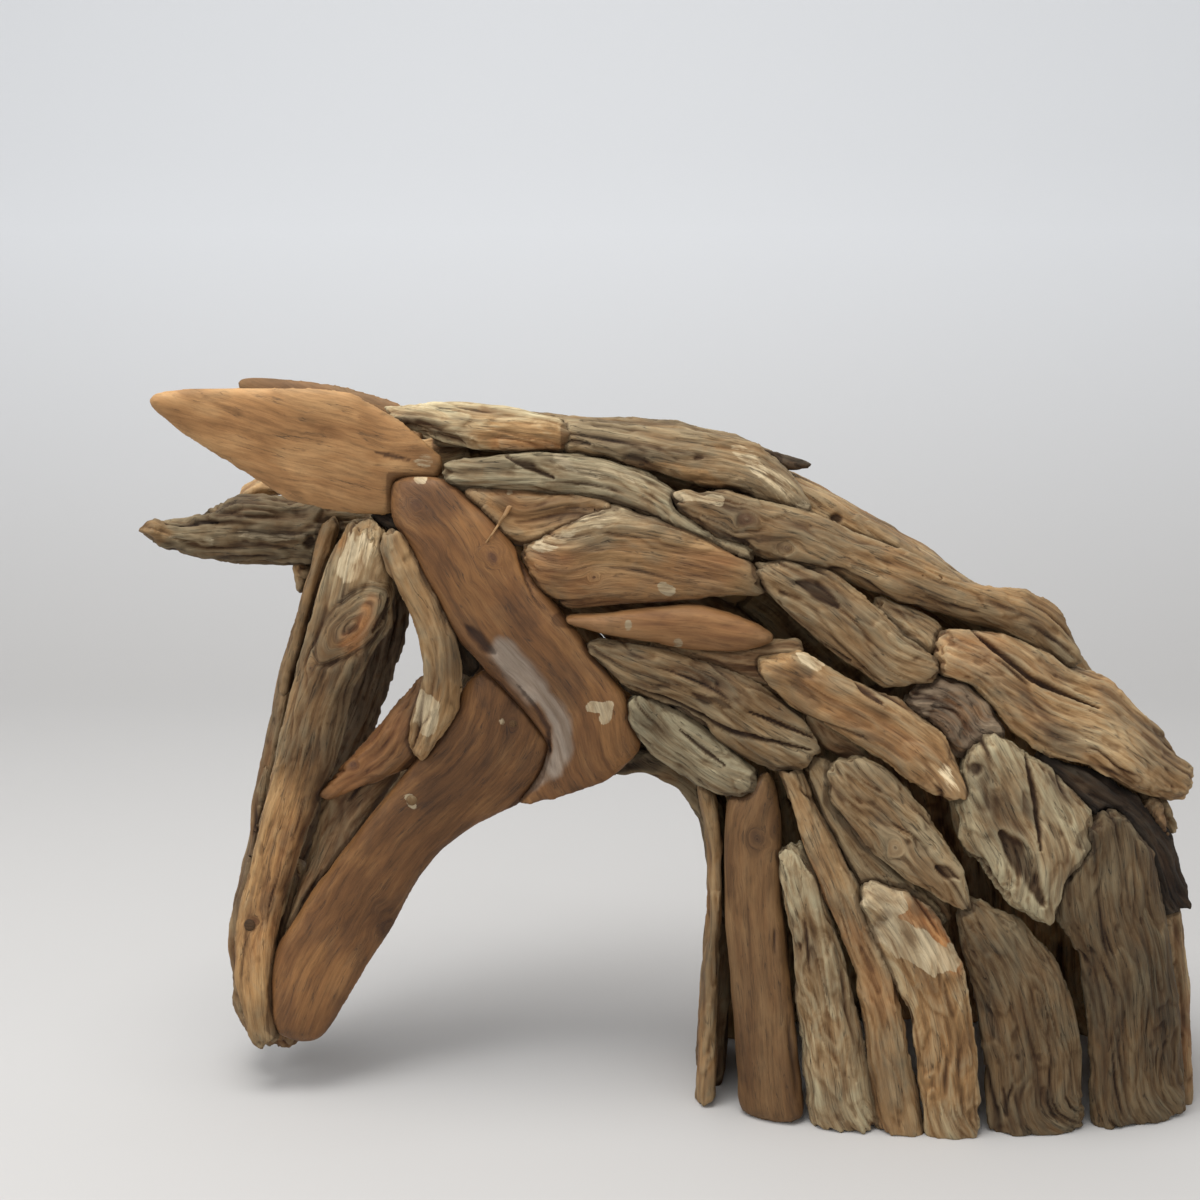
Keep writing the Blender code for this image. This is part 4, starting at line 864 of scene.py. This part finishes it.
# Features: the kind, its radius in millimetres, its depth in millimetres or its strength, and its place
# or line on the sketch.
FEATURES = {
    "ear_near": (
        ("dark", 11, 0.35, (-17.5, 64.9), (-16.8, 64.2)),
        ("pale", 7, 0.5, (-17.5, 64.9)),
        ("crack", 2, 0.7, (-22.5, 65.8), (-19, 65)),
        ("dark", 2, 0.35, (-39.5, 71.3), (-36, 69.5)),
    ),
    "ear_far": (("dark", 16, 0.45, (-34, 72), (-22, 70.5)),),
    "cheek_slab_near": (
        ("ash", 9.5, 1, (-9.8, 46), (-8, 43.8), (-6.4, 42)),
        ("ash", 7.5, 1, (-6.4, 42), (-4.9, 40.6), (-3.8, 38.8), (-3.7, 36.2), (-4.6, 34.2)),
        ("ash", 5, 0.6, (-4.6, 34.2), (-6.9, 32.4), (-8.4, 31.2)),
        ("dark", 8, 0.3, (-9.6, 43.6), (-6.6, 39), (-5.6, 34.6)),
        ("dent", 10, 1.6, (-9.3, 45.7), (-6.4, 42.4), (-3.6, 38.9), (-3.6, 36.2)),
        ("hollow", 4.2, 2.6, (-13.4, 48.4), (-10.5, 45.7)),
        ("hollow", 1.9, 1.8, (-8.3, 42.6), (-6.5, 40.4), (-5.1, 38.2), (-4.9, 35.8)),
        ("pale", 3.6, 0.75, (-0.9, 40.4), (0.9, 40.5), (0.5, 39.2)),
        ("pale", 5, 0.9, (-18, 63)),
        ("dark", 9, 0.25, (-18.6, 62), (-17.6, 59.6)),
    ),
    "jaw_slab_near": (
        ("pale", 4, 0.9, (-18.9, 31.2), (-18.7, 30.6)),
        ("dark", 12, 0.5, (-21.6, 19.5), (-21, 17.8)),
        ("pale", 3, 0.6, (-9.8, 38.9)),
    ),
    "face_bar_near": (
        ("smooth", 34, 0.65, (-31, 30), (-35.5, 12)),
        ("smooth", 12, 0.6, (-24, 56), (-25.5, 52)),
        ("amber", 8, 0.85, (-24.8, 46.8), (-23.2, 49)),
        ("amber", 5, 0.8, (-23.2, 49.5), (-22.6, 51)),
        ("bump", 9, 1.2, (-24.5, 47.2)),
        ("dark", 3, 0.8, (-24.9, 48.1), (-24.3, 48.3)),
        ("dark", 3.5, 0.7, (-22.9, 50.8)),
        ("dark", 9, 0.75, (-25.6, 41.8), (-27.6, 36), (-28.4, 30), (-31, 22)),
        ("dark", 6, 0.65, (-20.3, 54.2), (-20, 50), (-22, 45)),
        ("hollow", 3, 3.5, (-21.2, 51.2), (-21.5, 49.8), (-22.7, 47.8)),
        # A painted shadow in the crease left of the eye.
        ("dark", 5, 0.45, (-27.4, 49.6), (-28.3, 47)),
        ("bump", 5, 1.3, (-22.4, 55.9), (-23.2, 53.8), (-26.5, 50.4)),
        ("warm", 4, 0.9, (-25.9, 57)),
        ("pale", 11, 0.6, (-24.3, 56.2), (-25, 54)),
        ("amber", 5, 0.5, (-29.3, 50), (-28, 54), (-26.6, 56.6)),
        # Painted shade below the eye.
        ("dark", 18, 0.55, (-27.6, 44), (-28.6, 40), (-29.6, 36)),
        ("warm", 34, 0.75, (-31.5, 30), (-35, 13)),
        ("light", 16, 0.42, (-31, 31), (-33.6, 22), (-34.8, 13)),
        ("amber", 14, 0.2, (-30, 28), (-33, 16)),
    ),
    "nose_strip_near": (("bump", 5, 1.5, (-26, 58.4)),),
    "cheek_strap": (
        ("pale", 9, 0.9, (-17.1, 40.6), (-17.3, 38.6)),
        ("bump", 4, 1.2, (-19.8, 54), (-17.4, 48), (-17.2, 42)),
        ("dark", 5, 0.4, (-15.8, 50), (-14.6, 44)),
    ),
    "mouth_wedge": (("amber", 14, 0.6, (-25.8, 32.8), (-20.8, 38.2)),),
    "brow_root": (
        ("warm", 9, 1.1, (-45.4, 58.1), (-44, 57.6)),
        ("crack", 2.2, 3, (-43.5, 58.6), (-38.3, 58.8)),
        ("pale", 4, 0.4, (-42.5, 57.2), (-39, 56.9)),
        ("pale", 3, 0.4, (-36, 57.7), (-33, 57.2), (-28.5, 57.6)),
        ("hollow", 6, 3, (-29.6, 56.6), (-28.4, 56.6)),
    ),
    "crest_front": (
        ("hollow", 8.5, 4, (-19.2, 68.5), (-16.3, 67.3), (-13.8, 66.4)),
        ("dark", 10, 0.8, (-19, 68.3), (-15, 66.8)),
        ("crack", 2.5, 3, (-13.3, 65.9), (-9.4, 65.5)),
        ("warm", 14, 0.6, (-11, 68), (-4, 66.5)),
        ("amber", 8, 0.5, (-10, 66.6), (-4, 65.8)),
    ),
    "crest_middle": (
        ("crack", 2, 2, (-4, 67), (-1, 66.6)),
        ("warm", 5, 0.8, (2, 64.5), (10, 63.5), (14, 61)),
        ("pale", 7, 0.4, (14, 66), (20, 60)),
    ),
    "poll": (
        ("dent", 8, 1.5, (-12, 64.6), (-7, 63.6)),
        ("hollow", 3.2, 3.5, (-9.3, 65.3), (-7.1, 64.4), (-4.6, 63.2)),
        ("pale", 7, 0.45, (-4, 64.6), (4, 63.4)),
        ("crack", 1.8, 2.5, (-14.4, 62), (-9.4, 61.8), (-2.2, 61.2), (3.6, 59.7)),
    ),
    "poll_lower": (
        ("dark", 8, 0.5, (-9.3, 61.2)),
        ("pale", 4, 0.5, (-9, 61.6)),
    ),
    "neck_leaf": (
        ("smooth", 26, 0.6, (-4, 53), (8, 53)),
        ("warm", 15, -0.45, (-6, 55.6), (-2.4, 58), (4, 59.4)),
        ("warm", 19, 0.5, (-1, 52.6), (6, 53.2), (11, 54.2)),
        ("amber", 17, 0.5, (-2, 51.6), (7, 52.6), (12, 53.8)),
        ("pale", 4.5, 0.7, (6.3, 52.4), (6.9, 52)),
        ("pale", 8, 0.35, (-6, 56.6), (-2, 58.6), (3.5, 59.6)),
        ("light", 13, 0.25, (-6.4, 55.4), (-2.6, 58.2), (4, 59.6)),
        ("dark", 3, 0.4, (-3.6, 50.2), (6, 51)),
    ),
    "neck_sliver": (
        ("amber", 26, 0.6, (-3, 48), (12, 48)),
        ("pale", 4, 0.6, (2.9, 48.6)),
        ("pale", 4, 0.6, (7.8, 46.9)),
    ),
    "neck_cracked": (
        ("crack", 2, 3.5, (2.4, 42.7), (8, 40.5), (13.1, 37.9), (21, 36)),
        ("crack", 1.8, 3, (15, 39.8), (18, 38.6), (21.2, 37.3)),
        ("bump", 5, 1.5, (2, 46), (8, 43), (14, 40.5)),
    ),
    "neck_bleached": (
        ("dark", 9, 0.45, (4.5, 39.5), (6, 38)),
        ("crack", 1.8, 2, (8, 38), (12.5, 34.5)),
    ),
    "neck_shoulder": (
        ("crack", 2.2, 4, (36.5, 48.3), (39.5, 46), (43.1, 43.1), (49.9, 40.2)),
        ("dark", 9, 0.35, (45, 38), (47, 37)),
    ),
    "neck_scarred": (
        ("hollow", 5.4, 2.6, (19.6, 52.8), (21.4, 52.2), (23.8, 50.4)),
        ("crack", 2, 2, (17.6, 50), (21, 47.4), (25, 44.8)),
        ("dark", 8, 0.35, (27, 45), (29.5, 43)),
    ),
    "crest_long": (
        ("bump", 26, 4, (43, 50.6)),
        ("pale", 4, 0.6, (8, 61.4), (12, 61)),
        ("warm", 12, 0.4, (30, 56), (40, 52), (46, 49)),
    ),
    "crest_rear": (("hollow", 4, 3, (23.5, 59.1)),),
    "neck_patched": (
        ("pale", 6, 0.75, (20.6, 45), (21.6, 44.4)),
        ("dark", 5, 0.6, (19.6, 42.6), (21.4, 40.8)),
        ("light", 15, 0.4, (30.5, 38.6), (35.4, 32.6)),
        ("amber", 9, 0.25, (21, 42), (26, 39), (31, 36)),
        ("dark", 7, 0.4, (18, 43.2), (21, 40.4)),
        ("pale", 7, 0.42, (34.4, 34), (35.4, 32.2)),
        ("crack", 2.4, 3, (25.5, 42.5), (28.2, 40.6)),
        ("bump", 5, 1.6, (22, 43), (29, 40), (34, 35)),
    ),
    "neck_forked": (
        ("hollow", 5, 2.5, (37.6, 34.2)),
        ("dark", 8, 0.4, (39, 30.6), (42.6, 30.4)),
        ("hollow", 8, 5, (40.2, 27.6), (42.4, 24.4), (44.2, 20.8)),
        ("hollow", 7, 6, (37, 25.6), (38.6, 23.4), (40.2, 21.2)),
        ("crack", 2.2, 3, (42.5, 36), (43.5, 31), (44, 26)),
    ),
    "neck_square_cut": (
        ("hollow", 5, 3, (33.2, 30.6), (33.9, 28.6)),
        ("hollow", 4, 3, (33.6, 24.4), (35.8, 23.2)),
        ("bump", 4, 0.8, (24.5, 33.5), (25, 27)),
    ),
    "neck_pale_chip": (
        ("amber", 9, 0.9, (30, 20.4), (33.4, 18.6), (35.6, 14.6)),
        ("dark", 8, 0.45, (26, 18), (28, 14)),
        ("pale", 9, 1.2, (26.6, 21.8), (28.6, 21.4), (29.6, 20.2)),
        ("pale", 12, 1.2, (28.6, 18), (31, 16.8), (34.2, 15)),
        ("dark", 4, 0.6, (28.4, 19.6), (27.6, 18.4)),
        ("dark", 5, 0.55, (31.6, 20.4), (33, 19.6)),
    ),
    "upright_knot": (("dark", 8, 0.5, (15.7, 27.2)),),
    "slant_tan": (("amber", 6, 0.6, (17.4, 31), (21, 24), (25, 14)),),
}

# Small pieces that the photo shows besides the planks, and two dark chips, at the cheek and the brow,
# that
# stand in for the shade behind gaps: painted shade. A chip has its two ends on the sketch, the y of its
# plane in metres, its half width in millimetres, its finish and its tone, and a plug its place on the
# sketch, its radius in millimetres, its finish and its tone.
CHIPS = (
    ("neck_chip_upper", (20.4, 39.6), (26.6, 34.8), -0.078, 13, "brown_wood", 1.2),
    ("neck_chip_lower", (29.4, 23.4), (35, 19.4), -0.095, 11, "brown_wood", 1),
    ("neck_chip_middle", (35.4, 33.4), (37.6, 25.2), -0.090, 11, "grey_wood", 0.85),
    # A dark chip that stands in for the shade behind the gap: painted shade.
    ("cheek_chip", (-15.6, 49), (-12.6, 43.4), -0.052, 12, "dark_wood", 0.3),
    # A dark chip that stands in for the shade behind the gap: painted shade.
    ("brow_chip", (-22.6, 60), (-18.6, 57.8), -0.05, 9, "dark_wood", 0.4),
    ("throat_chip", (2, 43.2), (10, 38.6), -0.062, 9, "brown_wood", 0.5),
)
PLUGS = (
    ("face_plug", (-35, 18.5), 5.5, "dark_wood", 0.5),
    ("jaw_plug_front", (-18.8, 31), 5, "bleached_wood", 0.8),
    ("jaw_plug_rear", (-8.7, 38.7), 4.5, "dark_wood", 0.5),
)
TWIG = ((-9.0, 60.4), (-9.5, 59.4), (-10.1, 58.5), (-10.8, 57.5), (-11.5, 56.6))


def worked(name, solid, near, look, slot):
    """A solid as carved driftwood, riding on the sculpture's one body."""
    wood = Wood(name, solid, near, look)
    bend_round_knots(wood, look["knots"])
    height = carve(wood, look)
    height = add_checks(wood, look, height)
    height = add_features(wood, look, height)
    groove, dark = split_planks(wood, look["seams"])
    height += groove
    wood.dark = np.maximum(wood.dark, dark)
    height += look.get("swell", NEAR_SWELL if near else FAR_SWELL)
    wood.points = wood.points + wood.normals * (height * MM)[:, None]
    fray(wood, look["fray"])
    rounds, share = look["settle"]
    for _ in range(rounds):
        wood.points = wood.eased(wood.points, share)
    finished(wood, look, MATERIALS[look.get("finish", slot)])
    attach(wood.thing, "root")
    return wood


def dress(name, slot):
    """One plank of the frame as carved driftwood."""
    look = {**FINISH_LOOKS[slot], **OWN_LOOKS.get(name, {}), "features": FEATURES.get(name, ())}
    look |= dict(zip(("tone", "grey"), TONES.get(name, ())))
    near = bool(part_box(name)[0].y < 0 or name in ALSO_SHOWN)
    wood = worked(name + WOOD, frame["nodes"][name].data, near, look, slot)
    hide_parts(name)


def sight_to(place):
    """The line from the eye to a place of the sketch, in squares."""
    return AHEAD * SIGHT_LENGTH + RIGHT * place[0] + UP * (place[1] - SIGHT_SKETCH_Z)


def at_depth(place, y):
    """The point seen at a place of the sketch that lies in the upright plane at y."""
    sight = sight_to(place)
    return EYE + sight * ((y - EYE[1]) / sight[1])


def on_wood(place):
    """The point of the solids seen at a place of the sketch, and their normal there."""
    point, normal, _, _ = SOLIDS.ray_cast(EYE, Vector(sight_to(place)))
    return np.array(point), np.array(normal)


def loft(name, centres, across, through, widths, depths, sides=10):
    """A closed mesh round a row of centres, as wide and deep at each as given, in millimetres."""
    points, faces = [], []
    for centre, width, depth in zip(centres, widths, depths):
        for k in range(sides):
            turn = 2 * math.pi * k / sides
            reach = across * math.cos(turn) * width + through * math.sin(turn) * depth
            points.append(centre + reach * MM)
    for ring in range(len(centres) - 1):
        for k in range(sides):
            a, b = ring * sides + k, ring * sides + (k + 1) % sides
            faces.append((a, b, b + sides, a + sides))
    faces += [tuple(range(sides))[::-1], tuple(range(len(points) - sides, len(points)))]
    mesh = bpy.data.meshes.new(name)
    mesh.from_pydata([tuple(p) for p in points], [], faces)
    return mesh


def add_chips():
    """Small split pieces jammed into the gaps, behind the planks in front."""
    shares = (0.0, 0.12, 0.5, 0.85, 1.0)
    for name, start, end, y, width, slot, tone in CHIPS:
        first, last = at_depth(start, y), at_depth(end, y)
        run = (last - first) / np.linalg.norm(last - first)
        centres = [first + share * (last - first) for share in shares]
        widths = [width * share for share in (0.35, 0.85, 1.0, 0.8, 0.25)]
        depths = [0.5 * w + 2 for w in widths]
        solid = loft(name, centres, np.cross(run, AHEAD), AHEAD, widths, depths)
        look = {**FINISH_LOOKS[slot], "tone": tone}
        worked(name, solid, True, look, slot)


def add_plugs():
    """Filled screw holes, each a low dome a little proud of the wood round it."""
    for name, place, radius, finish, tone in PLUGS:
        point, normal = on_wood(place)
        across = np.cross(normal, UP)
        across /= np.linalg.norm(across)
        up = np.cross(across, normal)
        rises = (-1.5, NEAR_SWELL, NEAR_SWELL + 1.1, NEAR_SWELL + 1.7)
        sizes = [radius * share for share in (1.0, 1.0, 0.8, 0.35)]
        centres = [point + normal * rise * MM for rise in rises]
        solid = loft(name, centres, across, up, sizes, sizes, 16)
        look = {**FINISH_LOOKS["sanded_teak"], "rounds": 3, "voxel": 0.0009, "split": False}
        look |= {"swell": 0.0, "dirt": 0.0, "finish": finish, "tone": tone, "lumps": 0.3}
        worked(name, solid, True, look, "sanded_teak")


def add_twig():
    """A thin twig caught in front of the cheek's upper edge."""
    stands_out = (1.5, 4.5, 5.5, 4.0, 1.0)
    centres = [on_wood(place)[0] - AHEAD * proud * MM for place, proud in zip(TWIG, stands_out)]
    sizes = [2.2, 1.5, 1.3, 1.2, 1.0]
    solid = loft("twig", centres, RIGHT, AHEAD, sizes, sizes, 8)
    look = {**FINISH_LOOKS["tan_wood"], "rounds": 2, "voxel": 0.0006, "split": False}
    look |= {"swell": 0.0, "fray": 0.0, "lumps": 0.4, "flutes": 0.1, "layers": 0.0, "checks": 0.0}
    look |= {"pits": 0, "tone": 1.3, "dirt": 0}
    worked("twig", solid, True, look, "tan_wood")


def add_light(name, place, size, power, colour, aim=(0, 0, 0.3)):
    data = bpy.data.lights.new(name, "AREA")
    data.shape = "DISK"
    data.size = size
    data.energy = power
    data.color = colour
    light = add_object(name, data)
    light.location = place
    light.rotation_euler = (Vector(aim) - Vector(place)).to_track_quat("-Z", "Y").to_euler()


def add_stage():
    """A pale floor that sweeps up into a backdrop, painted darker towards the bottom as painted shade,
    and soft studio light from above.
    """
    front, back, bend, top, side = -6.0, 1.6, 1.2, 7.0, 7.0
    steps = 12
    rows = [(front, 0.0)]
    for k in range(steps + 1):
        turn = math.pi / 2 * k / steps
        rows.append((back + bend * math.sin(turn), bend * (1 - math.cos(turn))))
    rows.append((back + bend, top))
    points = [(x, y, z) for y, z in rows for x in (-side, side)]
    faces = [(2 * k, 2 * k + 1, 2 * k + 3, 2 * k + 2) for k in range(len(rows) - 1)]
    mesh = bpy.data.meshes.new("floor")
    mesh.from_pydata(points, [], faces)
    mesh.shade_smooth()
    floor = add_object("floor", mesh)
    paint = bpy.data.materials.new("floor")
    paint.use_nodes = True
    tree = paint.node_tree
    place = tree.nodes.new("ShaderNodeTexCoord").outputs["Object"]
    height = node("SeparateXYZ", {0: place}).outputs["Z"]
    # The floor and backdrop are painted darker towards the bottom: painted shade.
    shade = ramp(height, (0.0, (0.56, 0.55, 0.54, 1)), (1.0, (0.82, 0.84, 0.87, 1)))
    shader = tree.nodes["Principled BSDF"]
    tree.links.new(shade, shader.inputs["Base Color"])
    shader.inputs["Roughness"].default_value = 0.9
    mesh.materials.append(paint)
    world = bpy.data.worlds.new("studio")
    world.use_nodes = True
    sky = world.node_tree.nodes["Background"].inputs
    sky["Color"].default_value = (1.0, 1.0, 1.0, 1)
    sky["Strength"].default_value = 0.76
    bpy.context.scene.world = world
    bpy.context.scene.view_settings.view_transform = "Standard"
    add_light("overhead", (-0.5, -0.5, 2.4), 1.4, 36, (1.0, 0.99, 0.97))
    add_light("window", (-2.0, -1.6, 1.8), 1.2, 16, (0.96, 0.98, 1.0))


for existing in list(bpy.context.scene.objects):
    if existing.type in ("LIGHT", "CAMERA"):
        bpy.data.objects.remove(existing)
add_camera()
slots = {row["node"]: row["material_slot"] for row in frame["record"]["subparts"]}
for name in sorted(frame["nodes"]):
    dress(name, slots[name])
add_chips()
add_plugs()
add_twig()
add_stage()
